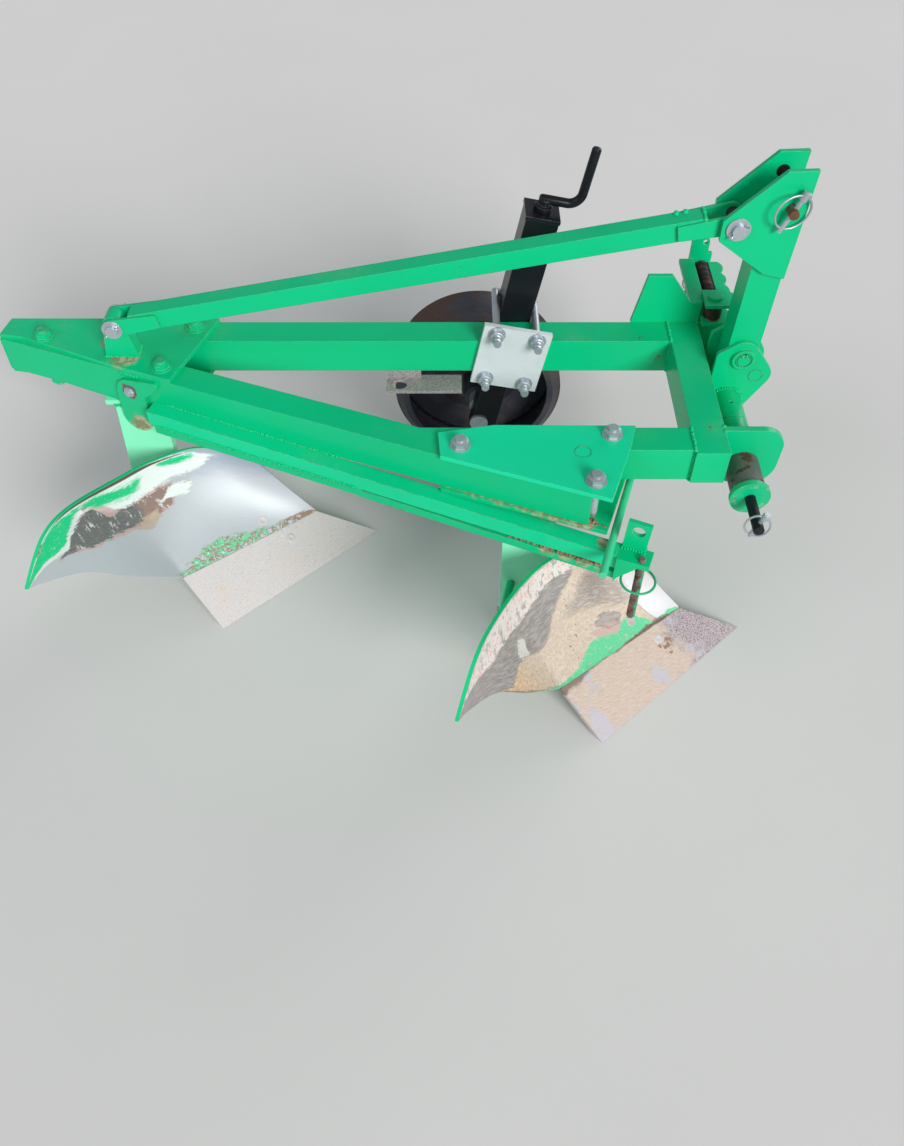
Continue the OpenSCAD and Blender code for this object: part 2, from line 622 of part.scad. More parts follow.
// Bars under the diagonal beam and what hangs on them
rail_at = 95;
rail_top_at = beam_bottom - gusset_t - 0.2;
function rail_top(s) = rail_top_at - (s - rail_at) * tan(rail_slope);
rail_right = -diag_off - rail_width;
strip_rear = -560;
strip_step = -80;
strip_t = 20;
// gap between the rail and the strip behind the step and at the front block
strip_gap = [3.8, 13.8];
// height of the strip at both ends of its forward half
strip_h = [19, 17];
pin_at = [519, -332];
module rail_bar() on_diagonal() difference() {
  upright(rail_right, rail_width) polygon([[rail_rear, rail_top(rail_rear)],
      [rail_front, rail_top(rail_front)],
    [rail_front, rail_top(rail_front) - rail_height], [rail_rear, rail_top(rail_rear) - rail_height]]);
  upright(rail_right + rail_wall, rail_width - 2 * rail_wall) polygon([
    [rail_rear - 1, rail_top(rail_rear) - rail_wall],
        [rail_front - rail_wall, rail_top(rail_front) - rail_wall],
    [rail_front - rail_wall, rail_top(rail_front) + rail_wall - rail_height],
        [rail_rear - 1, rail_top(rail_rear) + rail_wall - rail_height]]);
}
module side_rail() color("green") centred() rail_bar();
// strip under the rail: flush at the rear, with a gap from the step on
function strip_top(s) = rail_top(s) - rail_height - strip_gap[s < 0 ? 0 : 1];
module lower_strip() color("green") centred() on_diagonal() upright(rail_right, strip_t) polygon([
  [strip_rear, rail_top(strip_rear) - rail_height], [strip_step, rail_top(strip_step) - rail_height],
  [strip_step + 8, strip_top(strip_step + 8)], [rail_front, strip_top(rail_front)],
  [rail_front, strip_top(rail_front) - strip_h[1]], [strip_step + 8, strip_top(strip_step + 8) - strip_h[0]],
  [strip_step - 4, rail_top(strip_step) - rail_height - strip_t],
      [strip_rear, rail_top(strip_rear) - rail_height - strip_t]]);
module front_block() color("green") centred() on_diagonal() difference() {
  block_top = rail_top(rail_front);
  union() {
    upright(rail_right - 7, rail_width + 7) polygon([[rail_front, block_top], [536, block_top],
        [536, block_top - 12],
      [514, block_top - 12], [480, block_top - 52], [rail_front, block_top - 68]]);
    upright(-diag_off - 10, 10) polygon([[rail_front + 2, block_top], [520, block_top],
      [524, beam_top - 32], [477, beam_top - 30]]);
  }
  translate([500, -diag_off - 20, beam_top - 52]) rotate([-90, 0, 0]) cylinder(h = 40, r = 13);
  translate([pin_at[0], pin_at[1], 300]) cylinder(h = 120, r = 8 + fit_gap);
}
module block_pin() color("dimgray") centred() on_diagonal() translate([pin_at[0], pin_at[1], 0]) {
  translate([0, 0, 228]) cylinder(h = 182, r = 8);
  translate([0, 0, 332]) rotate([0, 60, 20]) rotate_extrude() translate([32, 0]) circle(2.5);
  translate([0, 0, 332]) rotate([90, 0, 20]) cylinder(h = 68, r = 4, center = true);
}
// rod lying across the front end of the rail, hung from the stub tube
module brace_rod() color("green") centred() difference() {
  union() {
    rod_between([373, -262, 410.6], [284, -540, 410.6], 8);
    translate([373, -262, 410.6]) cylinder(h = beam_bottom - 410.6, r = 7);
  }
  rail_bar();
}
module rod_between(a, b, r) {
  d = b - a;
  translate(a) rotate([0, acos(d[2] / norm(d)), atan2(d[1], d[0])]) cylinder(h = norm(d), r = r);
}
// ear on the right face of the diagonal beam over the rear leg
module rear_ear() color("green") centred() on_diagonal() upright(-diag_off - 10, 10) difference() {
  union() {
    hull() {
      translate([-623, 463]) circle(30);
      translate([-556, 494]) circle(8);
    }
    hull() {
      translate([-623, 450]) circle(34);
      translate([-623, 390]) circle(36);
    }
  }
  translate([-623, 463]) circle(9);
}
module under_beam_bar() color("gray") centred() {
  difference() {
    box(-148, 22, 7, 63, 395, 403);
    translate([-118, 30, 380]) cylinder(h = 40, r = 17);
  }
  box(-148, -70, side_right + 2, 63, 403, beam_bottom);
}
// strut from the leg to the back of the mouldboard's wing
module brace() difference() {
  n = normal_at(4.2, 0.5);
  back = face_at(4.2, 0.5) + (board_t + 0.5) * n;
  union() {
    rod_between(back, back + 10 * n, 16);
    rod_between([-leg_back + 24, -landside_t - leg_t / 2 + 10, 190], back + 8 * n, 9);
  }
  leg();
}
module front_brace() color("green") centred() at_body(FRONT) brace();
module rear_brace() color("green") centred() at_body(REAR) brace();

// Depth wheel
wheel_drop = (beam_mid - wheel_r + axle_back * sin(column_lean)) / cos(column_lean);
wheel_x = column_x - wheel_drop * sin(column_lean) - axle_back * cos(column_lean);
bolt_x = column_side / 2 + ubolt_r + 2;
bolt_z = beam_height / 2 + 20;
module leaning() translate([column_x, column_y, beam_mid]) rotate([0, column_lean, 0]) children();
module square_tube(z0, z1, s, t) difference() {
  translate([-s / 2, -s / 2, z0]) cube([s, s, z1 - z0]);
  translate([t - s / 2, t - s / 2, z0 - 1]) cube([s - 2 * t, s - 2 * t, z1 - z0 + 2]);
}
module column() color("black") centred() leaning() {
  square_tube(-column_down, column_up, column_side, column_wall);
  translate([-column_side / 2 - 2, -column_side / 2 - 2, column_up]) cube([column_side + 4, column_side + 4,
      crank_cap]);
}
module column_clamp() color("silver") centred() leaning() difference() {
  translate([-75, side_right - column_y - 12, -78]) cube([150, 12, 156]);
  for (x = [-bolt_x, bolt_x], z = [-bolt_z, bolt_z]) translate([x, side_right - column_y + 1, z])
    rotate([90, 0, 0]) cylinder(h = 14, r = ubolt_r + 0.5);
}
module column_ubolts() color("silver") centred() leaning() for (z = [-bolt_z, bolt_z]) translate([0, 0, z]) {
  for (x = [-bolt_x, bolt_x]) translate([x, 0, 0]) {
    translate([0, column_side / 2 + ubolt_r + 0.3, 0]) rotate([90, 0, 0])
      cylinder(h = column_side / 2 + ubolt_r + 0.3 + column_y - side_right + 12 + 38, r = ubolt_r);
    translate([0, column_side / 2 + ubolt_r + 0.3, 0]) sphere(ubolt_r);
    translate([0, side_right - column_y - 12, 0]) rotate([90, 0, 0]) cylinder(h = 14, r = 15, $fn = 6);
  }
  translate([-bolt_x, column_side / 2 + ubolt_r + 0.3, 0]) rotate([0, 90, 0]) cylinder(h = 2 * bolt_x,
      r = ubolt_r);
}
// crank on the screw inside the column: stem, arm and upright handle
crank_cap = 8;
crank_stem = 24;
crank_arm_z = column_up + crank_cap + crank_stem;
module crank() color("dimgray") centred() leaning() {
  translate([0, 0, column_up + crank_cap]) cylinder(h = crank_stem, r = 12);
  translate([0, 0, crank_arm_z]) sphere(10);
  translate([0, 0, crank_arm_z]) rotate([0, 90, 0]) cylinder(h = crank_reach, r = 8);
  translate([crank_reach, 0, crank_arm_z]) sphere(9);
  translate([crank_reach, 0, crank_arm_z]) cylinder(h = crank_grip, r = 9);
}
module wheel_mast() color("dimgray") centred() leaning() difference() {
  square_tube(-wheel_drop - 40, 90, mast_side, 5);
  translate([-axle_back, 0, -wheel_drop]) rotate([90, 0, 0]) cylinder(h = 100, r = axle_r + fit_gap,
      center = true);
}
module wheel_axle() color("silver") centred() {
  across(wheel_x, wheel_r, column_y - mast_side / 2 - 8, wheel_right + wheel_width + 14, axle_r);
  across(wheel_x, wheel_r, column_y - mast_side / 2 - 8, column_y - mast_side / 2, axle_r + 9);
  across(wheel_x, wheel_r, column_y + mast_side / 2, wheel_right - 6.5, axle_r + 9);
  across(wheel_x, wheel_r, wheel_right + wheel_width + 6.5, wheel_right + wheel_width + 14, axle_r + 9);
}
module wheel_turned() translate([wheel_x, wheel_right + wheel_width / 2, wheel_r]) rotate([-90, 0, 0])
    rotate_extrude() children();
// steel wheel: hub and dished disc, and a crowned band
band_in = wheel_r - 20;
module depth_wheel() color("dimgray") centred() wheel_turned() polygon([
  [axle_r + fit_gap, -wheel_width / 2 - 6], [34, -wheel_width / 2 - 6], [36, -18], [70, -18], [110, 2],
      [band_in, 2],
  [band_in, 10], [108, 10], [68, -10], [36, -10], [34, wheel_width / 2 + 6],
      [axle_r + fit_gap, wheel_width / 2 + 6]]);
module wheel_band() color("dimgray") centred() wheel_turned() polygon([
  [band_in, 0], [band_in, 12], [wheel_r - 8, 12], [wheel_r - 9, wheel_width / 2 - 26],
      [wheel_r - 26, wheel_width / 2 - 8],
  [wheel_r - 36, wheel_width / 2 - 8], [wheel_r - 36, wheel_width / 2], [wheel_r - 22, wheel_width / 2],
  [wheel_r - 1, wheel_width / 2 - 22], [wheel_r, 0], [wheel_r - 1, 22 - wheel_width / 2],
      [wheel_r - 22, -wheel_width / 2],
  [wheel_r - 36, -wheel_width / 2], [wheel_r - 36, 8 - wheel_width / 2], [wheel_r - 26, 8 - wheel_width / 2],
  [wheel_r - 9, 26 - wheel_width / 2], [wheel_r - 8, 0]]);

side_beam();
diagonal_beam();
cross_tube();
stub_tube();
front_gusset_top();
front_gusset_bottom();
rear_gusset_top();
rear_gusset_bottom();
frame_bolts();
shaft_ear_right();
shaft_ear_left();
cross_shaft();
bush_right();
bush_left();
lower_pin_right();
lower_pin_left();
shaft_sleeves();
foot_cheek_right();
foot_cheek_left();
foot_pin();
post();
clevis_plate_right();
clevis_plate_left();
top_link_pin();
top_stay();
stay_pins();
stay_rear_lug();
top_linch_pin();
post_bracket();
adjuster_pin();
adjuster_spindle();
adjuster_channel();
adjuster_gusset();
side_rail();
lower_strip();
front_block();
block_pin();
brace_rod();
rear_ear();
under_beam_bar();
front_leg();
rear_leg();
front_frog();
rear_frog();
front_share();
rear_share();
front_mouldboard();
rear_mouldboard();
front_landside();
rear_landside();
front_brace();
rear_brace();
column();
column_clamp();
column_ubolts();
crank();
wheel_mast();
wheel_axle();
depth_wheel();
wheel_band();
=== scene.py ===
"""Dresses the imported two-furrow plough: chipped paint, worn steel, welds, bolts, threads and pins."""

import math

import bmesh
import bpy
import numpy as np
from bpy.props import FloatProperty, FloatVectorProperty, IntProperty, PointerProperty
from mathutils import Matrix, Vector


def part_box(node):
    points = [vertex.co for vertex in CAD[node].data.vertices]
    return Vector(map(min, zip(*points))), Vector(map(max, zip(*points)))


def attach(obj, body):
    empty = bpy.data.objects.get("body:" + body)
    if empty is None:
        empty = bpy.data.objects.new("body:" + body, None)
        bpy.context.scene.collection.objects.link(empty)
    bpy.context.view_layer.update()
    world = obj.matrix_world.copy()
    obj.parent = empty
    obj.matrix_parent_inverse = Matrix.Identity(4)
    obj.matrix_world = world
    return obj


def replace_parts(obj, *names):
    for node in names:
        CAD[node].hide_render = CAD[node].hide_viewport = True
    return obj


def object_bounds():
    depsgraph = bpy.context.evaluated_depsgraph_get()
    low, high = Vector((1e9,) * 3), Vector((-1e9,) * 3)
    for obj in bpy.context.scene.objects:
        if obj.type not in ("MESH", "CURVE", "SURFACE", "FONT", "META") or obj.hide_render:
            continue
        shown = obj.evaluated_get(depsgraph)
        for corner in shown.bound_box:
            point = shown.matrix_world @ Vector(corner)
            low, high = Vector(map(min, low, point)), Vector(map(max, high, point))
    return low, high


bl_info = {
    "name": "Plough Dressing",
    "version": (1, 0, 0),
    "blender": (4, 5, 0),
    "location": "View3D > Sidebar > Plough",
    "description": "Paint, wear, welds and fasteners for a two-furrow mounted plough",
    "category": "Object",
}

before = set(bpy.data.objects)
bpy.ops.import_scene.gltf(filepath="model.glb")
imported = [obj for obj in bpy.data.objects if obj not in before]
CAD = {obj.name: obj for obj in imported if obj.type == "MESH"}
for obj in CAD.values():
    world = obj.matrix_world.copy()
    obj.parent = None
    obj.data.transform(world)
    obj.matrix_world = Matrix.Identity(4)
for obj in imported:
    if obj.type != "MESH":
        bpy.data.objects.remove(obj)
CAD_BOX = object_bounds()
MM = 0.001
EVEN = (1.0, 1.0, 1.0)
UP, DOWN = (0, 0, 1), (0, 0, -1)
RIGHT, LEFT = (0, -1, 0), (0, 1, 0)

# The hitch centre from the cross shaft: its distance ahead of the source's datum, and its height
SHAFT_LOW, SHAFT_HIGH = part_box("cross_shaft")
SHAFT = (SHAFT_LOW + SHAFT_HIGH) / 2
SHAFT_AHEAD = 600
SHAFT_HEIGHT = 415


def at(x, y, z):
    """A place in millimetres ahead of the datum, left of the hitch centre and above the ground."""
    return Vector((SHAFT.x + (x - SHAFT_AHEAD) * MM, SHAFT.y + y * MM, z * MM))


# Each body's cutting point
BODIES = {"front": np.array([663.0, -353.0, 0.0]), "rear": np.array([-187.0, -50.0, 0.0])}

# Top and underside of the gusset plates, and the angle of the diagonal beam
GUSSET_TOP = 517
GUSSET_UNDER = 417
DIAGONAL_TURN = math.radians(20.98)

# The side rail's top face: where it starts along the diagonal, its height there and its fall
RAIL_START = 95
RAIL_HIGH = 416.8
RAIL_FALL = math.tan(math.radians(2.28))


def diagonal(s, t, z):
    """A place by its distance along the diagonal beam and across it."""
    cosine, sine = math.cos(DIAGONAL_TURN), math.sin(DIAGONAL_TURN)
    return at(s * cosine + t * sine, -s * sine + t * cosine, z)


def rail_height(s):
    """Height of the rail's top face above the ground."""
    return RAIL_HIGH - (s - RAIL_START) * RAIL_FALL


# Materials

class Finish:
    """One procedural material, with short calls for its nodes."""

    def __init__(self, name):
        self.material = bpy.data.materials.new(name)
        self.material.use_nodes = True
        self.tree = self.material.node_tree
        self.shader = self.tree.nodes["Principled BSDF"]
        self.place = self.node("ShaderNodeTexCoord").outputs["Object"]

    def node(self, kind, **settings):
        made = self.tree.nodes.new(kind)
        for key, value in settings.items():
            setattr(made, key, value)
        return made

    def put(self, socket, value):
        if isinstance(value, bpy.types.NodeSocket):
            self.tree.links.new(value, socket)
        elif isinstance(value, (tuple, list)) and len(value) == 3 and socket.type == "RGBA":
            socket.default_value = (*value, 1.0)
        else:
            socket.default_value = value

    def noise(self, scale, detail=4.0, rough=0.55, vector=None, stretch=None):
        source = self.place if vector is None else vector
        if stretch:
            mapping = self.node("ShaderNodeMapping")
            self.put(mapping.inputs["Vector"], source)
            mapping.inputs["Scale"].default_value = stretch
            source = mapping.outputs["Vector"]
        made = self.node("ShaderNodeTexNoise")
        self.put(made.inputs["Vector"], source)
        made.inputs["Scale"].default_value = scale
        made.inputs["Detail"].default_value = detail
        made.inputs["Roughness"].default_value = rough
        return made.outputs["Fac"]

    def cells(self, scale):
        made = self.node("ShaderNodeTexVoronoi")
        self.put(made.inputs["Vector"], self.place)
        made.inputs["Scale"].default_value = scale
        return made.outputs["Distance"]

    def sums(self, operation, first, second=0.0, third=0.0):
        made = self.node("ShaderNodeMath", operation=operation)
        for socket, value in zip(made.inputs, (first, second, third)):
            self.put(socket, value)
        return made.outputs[0]

    def vectors(self, operation, first, second=None, output="Vector"):
        made = self.node("ShaderNodeVectorMath", operation=operation)
        self.put(made.inputs[0], first)
        if second is not None:
            self.put(made.inputs[1], second)
        return made.outputs[output]

    def step(self, value, low, high):
        """0 below low, 1 above high, smooth between; high below low turns it round."""
        made = self.node("ShaderNodeMapRange", interpolation_type="SMOOTHSTEP")
        self.put(made.inputs["Value"], value)
        flip = high < low
        made.inputs["From Min"].default_value = high if flip else low
        made.inputs["From Max"].default_value = low if flip else high
        made.inputs["To Min"].default_value = 1.0 if flip else 0.0
        made.inputs["To Max"].default_value = 0.0 if flip else 1.0
        return made.outputs["Result"]

    def times(self, *values):
        result = values[0]
        for value in values[1:]:
            result = self.sums("MULTIPLY", result, value)
        return result

    def most(self, *values):
        result = values[0]
        for value in values[1:]:
            result = self.sums("MAXIMUM", result, value)
        return result

    def rest(self, value):
        """What the value leaves of 1."""
        return self.sums("SUBTRACT", 1.0, value)

    def mix(self, share, first, second, kind="RGBA"):
        made = self.node("ShaderNodeMix", data_type=kind)
        self.put(made.inputs["Factor"], share)
        self.put(made.inputs["A"], first)
        self.put(made.inputs["B"], second)
        return made.outputs["Result"]

    def blend(self, share, first, second):
        return self.mix(share, first, second, "FLOAT")

    def edges(self, radius, low=0.02, high=0.2):
        """1 on sharp outer edges within the radius in metres."""
        bevel = self.node("ShaderNodeBevel", samples=6)
        bevel.inputs["Radius"].default_value = radius
        true = self.node("ShaderNodeNewGeometry")
        dot = self.vectors("DOT_PRODUCT", bevel.outputs["Normal"], true.outputs["Normal"], "Value")
        return self.step(self.rest(dot), low, high)

    def upward(self, low=0.3, high=0.9):
        """1 on faces that look up."""
        return self.step(self.axis("Z", self.node("ShaderNodeNewGeometry").outputs["Normal"]), low, high)

    def join(self, x, y, z):
        made = self.node("ShaderNodeCombineXYZ")
        for socket, value in zip(made.inputs, (x, y, z)):
            self.put(socket, value)
        return made.outputs["Vector"]

    def axis(self, name, vector=None):
        split = self.node("ShaderNodeSeparateXYZ")
        self.put(split.inputs[0], self.place if vector is None else vector)
        return split.outputs[name]

    def near(self, place, reach, soft=0.4, uneven=0.35, detail=45.0, stretch=EVEN):
        """1 within the reach in metres of a place, with a ragged rim."""
        away = self.vectors("MULTIPLY", self.vectors("SUBTRACT", self.place, place), stretch)
        length = self.vectors("LENGTH", away, output="Value")
        ragged = self.sums("SUBTRACT", self.noise(detail, 4.0, 0.65), 0.5)
        rim = self.sums("MULTIPLY_ADD", ragged, 2 * reach * uneven, length)
        return self.step(rim, reach * (1 + soft / 2), reach * (1 - soft / 2))

    def finish(self, colour, metal, rough, height=None, depth=0.001, gloss=0.5, rounding=0.0):
        self.put(self.shader.inputs["Base Color"], colour)
        self.put(self.shader.inputs["Metallic"], metal)
        self.put(self.shader.inputs["Roughness"], rough)
        self.shader.inputs["Specular IOR Level"].default_value = gloss
        if height is not None:
            bump = self.node("ShaderNodeBump")
            bump.inputs["Distance"].default_value = depth
            self.put(bump.inputs["Height"], height)
            if rounding:
                soft_edge = self.node("ShaderNodeBevel", samples=6)
                soft_edge.inputs["Radius"].default_value = rounding
                self.put(bump.inputs["Normal"], soft_edge.outputs["Normal"])
            self.put(self.shader.inputs["Normal"], bump.outputs["Normal"])
        return self.material


def linear(red, green, blue):
    """A screen colour of 0 to 255 as the linear colour that Blender wants."""
    return tuple(
        c / 255 / 12.92 if c <= 10 else ((c / 255 + 0.055) / 1.055) ** 2.4 for c in (red, green, blue)
    )


PRIMER = linear(176, 120, 116)
BARE = linear(112, 106, 100)
RUST = linear(104, 62, 40)
SOIL = linear(146, 120, 94)
PALE_SOIL = linear(196, 176, 150)
# Painted shade: the near-black inside of holes that are not modelled
HOLE_SHADE = linear(30, 26, 26)
ZINC = linear(196, 205, 213)
GREEN_LEFT = linear(20, 200, 132)
WHITE_STREAK = linear(226, 236, 234)


def paint(name, colour, chips=0.5, dust=0.3, patches=(), stains=(), shaded_holes=(), reach=0.0022):
    """Gloss paint with chipped edges.

    Patches are dry soil, and stains are primer and rust, each a place, a reach and a stretch.
    Holes are painted shade, a dark disc where a hole is not modelled, each a place and a reach.
    """
    f = Finish(name)
    tint = f.noise(3.0, 3.0)
    base = f.mix(tint, tuple(c * 0.88 for c in colour), tuple(min(1, c * 1.12) for c in colour))
    streak = f.noise(28.0, 5.0, 0.7)
    grain = f.noise(170.0, 4.0, 0.7)
    edge = f.edges(reach)
    torn = f.sums("ADD", f.times(streak, 0.75), f.times(grain, 0.35))
    torn = f.step(torn, 0.72 - 0.16 * chips, 0.76 - 0.16 * chips)
    speck = f.sums("ADD", f.times(f.noise(9.0, 2.0), 0.6), f.times(grain, 0.5))
    speck = f.step(speck, 0.765 - 0.05 * chips, 0.78 - 0.05 * chips)
    bare = f.most(f.times(edge, torn), speck)
    for place, size, stretch in stains:
        bare = f.most(bare, f.near(place, size, 0.25, 0.7, 60.0, stretch))
    red = f.mix(f.step(f.noise(35.0), 0.4, 0.6), RUST, PRIMER)
    under = f.mix(f.step(f.noise(60.0), 0.45, 0.6), BARE, red)
    # Edges turn a paler green: partly rubbed paint, partly a painted highlight along the edges.
    highlit_and_rubbed_edges = f.times(edge, f.step(grain, 0.4, 0.56), 0.5)
    base = f.mix(highlit_and_rubbed_edges, base, tuple(0.62 * c + 0.3 for c in colour))
    painted = f.mix(bare, base, under)
    settled = f.sums("ADD", f.noise(5.0, 3.0), f.times(grain, 0.25))
    lying = f.times(f.upward(), f.step(settled, 0.62, 0.95), dust)
    for place, size, stretch in patches:
        spread = f.near(place, size, 0.6, 0.8, 38.0, stretch)
        lying = f.most(lying, f.times(spread, f.step(grain, 0.3, 0.45), 0.85))
    dirt = f.mix(f.step(f.noise(70.0, 3.0), 0.42, 0.6), SOIL, PALE_SOIL)
    out = f.mix(lying, painted, dirt)
    rough = f.most(f.blend(bare, f.blend(tint, 0.24, 0.34), 0.65), f.times(lying, 0.9))
    height = f.sums("SUBTRACT", f.times(f.noise(90.0, 2.0), 0.12), f.times(bare, 0.6))
    height = f.sums("ADD", height, f.times(lying, grain))
    # Painted shade: a dark disc stands in for the shade inside each hole.
    for place, size in shaded_holes:
        out = f.mix(f.near(place, size, 0.12, 0.05), out, HOLE_SHADE)
    return f.finish(out, f.times(bare, 0.3), rough, height, 0.0006, 0.22, 0.002)


def soil_cover(name):
    """Loose crumbs of dry soil."""
    f = Finish(name)
    fine = f.noise(300.0, 4.0, 0.7)
    out = f.mix(f.step(f.noise(60.0), 0.4, 0.62), linear(96, 74, 56), linear(150, 124, 98))
    out = f.mix(f.times(fine, 0.5), out, linear(196, 172, 146))
    return f.finish(out, 0.0, 0.95, fine, 0.0012)


def wheel_steel(name, middle):
    """Dark dry steel of the wheel: scuffed rings, scratches round the axle and a brown rim."""
    f = Finish(name)
    away = f.vectors("SUBTRACT", f.place, middle)
    radius = f.vectors("LENGTH", f.vectors("MULTIPLY", away, (1.0, 0.0, 1.0)), output="Value")
    broad = f.noise(9.0, 5.0, 0.6)
    fine = f.noise(120.0, 5.0, 0.7)
    drawn = f.join(f.times(radius, 260.0), f.times(f.axis("Y", away), 60.0), f.times(broad, 2.0))
    rings = f.noise(1.0, 4.0, 0.7, vector=drawn)
    base = f.mix(broad, linear(42, 46, 56), linear(82, 82, 98))
    scuffed = f.times(f.step(rings, 0.6, 0.7), f.step(broad, 0.4, 0.62))
    base = f.mix(scuffed, base, linear(132, 130, 142))
    dusty = f.step(f.sums("ADD", f.noise(5.0, 4.0), f.times(fine, 0.25)), 0.55, 0.85)
    base = f.mix(f.times(dusty, 0.5), base, linear(140, 126, 116))
    spread = f.step(f.sums("ADD", broad, f.times(fine, 0.3)), 0.58, 0.72)
    brown = f.times(f.step(radius, 0.199, 0.208), spread)
    out = f.mix(brown, base, linear(92, 70, 60))
    rough = f.blend(f.most(brown, dusty), f.blend(fine, 0.34, 0.5), 0.85)
    return f.finish(out, 0.35, rough, f.sums("ADD", f.times(rings, 0.3), fine), 0.0006)


def steel(name, colour, rough=0.35, grain=(60.0, 60.0, 60.0), spots=0.3, metal=0.9, spot_colour=BARE):
    """Plain or zinc-plated steel with a fine grain and dull spots."""
    f = Finish(name)
    fine = f.noise(6.0, 5.0, 0.65, stretch=grain)
    broad = f.noise(14.0, 4.0)
    base = f.mix(fine, tuple(c * 0.8 for c in colour), colour)
    stain = f.times(f.step(f.sums("ADD", broad, f.times(fine, 0.2)), 0.6, 0.75), spots)
    out = f.mix(stain, base, spot_colour)
    wear = f.edges(0.0015)
    out = f.mix(f.times(wear, 0.5), out, tuple(min(1.0, c * 1.25) for c in colour))
    return f.finish(out, metal, f.blend(stain, f.blend(fine, rough, rough + 0.12), 0.7), fine, 0.0004)


def split_steel(name, side, below, above, metal=0.5, rough=0.45):
    """Steel of one colour below a limit and of another above it; side is an axis and its limit in metres."""
    f = Finish(name)
    axis, limit = side
    place = f.axis(axis)
    if axis == "Y":
        place = f.sums("ABSOLUTE", f.sums("SUBTRACT", place, SHAFT.y))
    fine = f.noise(90.0, 5.0, 0.7)
    high = f.step(place, limit - 0.0002, limit + 0.0002)
    spot = f.step(f.noise(36.0, 4.0, 0.7), 0.52, 0.58)
    low_tone = f.mix(f.times(fine, 0.4), f.mix(spot, *below), below[1])
    high_tone = f.mix(f.times(fine, 0.2), f.mix(spot, *above), above[1])
    out = f.mix(high, low_tone, high_tone)
    return f.finish(out, metal, f.blend(fine, rough, rough + 0.2), fine, 0.0005, 0.3)


def rusty(name):
    """Rough rust over grey steel."""
    f = Finish(name)
    fine = f.noise(240.0, 5.0, 0.7)
    broad = f.noise(30.0, 4.0)
    red = f.mix(broad, linear(92, 58, 44), linear(140, 96, 74))
    out = f.mix(f.step(f.noise(55.0), 0.5, 0.62), red, linear(128, 122, 120))
    return f.finish(out, 0.35, f.blend(fine, 0.55, 0.85), f.sums("ADD", fine, broad), 0.0012)


def sandy(name):
    """The pitted, sandy skin of the landsides and the bar under the beam."""
    f = Finish(name)
    grain = f.noise(420.0, 4.0, 0.75)
    pits = f.cells(260.0)
    broad = f.noise(8.0, 4.0)
    out = f.mix(f.step(grain, 0.38, 0.62), linear(124, 116, 118), linear(196, 189, 190))
    out = f.mix(f.times(f.step(broad, 0.52, 0.68), 0.7), out, linear(206, 190, 174))
    height = f.sums("ADD", f.times(grain, 0.7), f.times(pits, 0.4))
    return f.finish(out, 0.25, 0.62, height, 0.0012)


# Zones on a board: two broken lines over its length, from shin to wing,
# each point with its height from share to top edge
REAR_ZONES = {
    "white": (
        [(0, 1), (0.16, 0.9), (0.24, 0.78), (0.36, 0.74), (0.5, 0.71), (0.62, 0.8), (0.7, 0.88), (1, 0.96)],
        [(0, 0.9), (0.16, 0.92), (0.24, 0.97), (0.7, 0.98), (1, 0.97)],
    ),
    "long green": (
        [(0, 1), (0.38, 0.97), (0.46, 0.82), (0.6, 0.85), (0.66, 0.97), (1, 1)],
        [(0, 0.9), (0.38, 0.9), (0.48, 0.91), (0.6, 0.95), (0.66, 0.93), (1, 0.9)],
    ),
    "short green": (
        [(0, 1), (0.2, 0.96), (0.24, 0.9), (0.33, 0.9), (0.37, 0.97), (1, 1)],
        [(0, 0.9), (0.2, 0.94), (0.26, 0.95), (0.34, 0.95), (0.38, 0.92), (1, 0.9)],
    ),
    "dark": (
        [(0, 0.7), (0.28, 0.67), (0.42, 0.52), (0.53, 0.53), (0.72, 0.42), (0.86, 0.42), (1, 0.42)],
        [(0, 0.4), (0.29, 0.67), (0.41, 0.72), (0.54, 0.72), (0.58, 0.69), (0.62, 0.84), (0.7, 0.76),
         (0.86, 0.44), (1, 0.2)],
    ),
    "rim": (
        [(0, 0.72), (0.28, 0.68), (0.42, 0.5), (0.53, 0.5), (0.72, 0.39), (0.86, 0.4), (1, 0.4)],
        [(0, 0.4), (0.29, 0.69), (0.41, 0.74), (0.54, 0.74), (0.6, 0.86), (0.72, 0.78), (0.86, 0.46),
         (1, 0.2)],
    ),
    "white end": (
        [(0, 1), (0.28, 0.66), (0.33, 0.57), (0.4, 0.6), (1, 1)],
        [(0, 0), (0.28, 0.66), (0.34, 0.69), (0.4, 0.62), (1, 0)],
    ),
    "tan": (
        [(0, 1), (0.42, 0.6), (0.47, 0.46), (0.54, 0.5), (1, 1)],
        [(0, 0), (0.42, 0.58), (0.47, 0.57), (0.54, 0.52), (1, 0)],
    ),
    "wing": (
        [(0, 1), (0.62, 0.93), (0.76, 0.72), (0.84, 0.58), (0.9, 0.68), (1, 0.8)],
        [(0, 0.9), (0.66, 0.95), (0.8, 0.97), (0.94, 0.97), (1, 1)],
    ),
    "round the wing": (
        [(0, 1), (0.6, 0.9), (0.76, 0.66), (0.84, 0.5), (0.9, 0.58), (1, 0.8)],
        [(0, 0.9), (0.66, 0.95), (0.8, 1), (1, 1)],
    ),
    "along the share": (
        [(0, 0), (1, 0)],
        [(0, 0.04), (0.05, 0.09), (0.14, 0.06), (0.36, 0.12), (0.48, 0.05), (0.55, 0), (1, 0)],
    ),
    "top seam": (
        [(0, 1), (0.3, 0.965), (0.72, 0.975), (1, 1)],
        [(0, 0.9), (0.34, 0.985), (0.7, 0.993), (1, 0.9)],
    ),
}
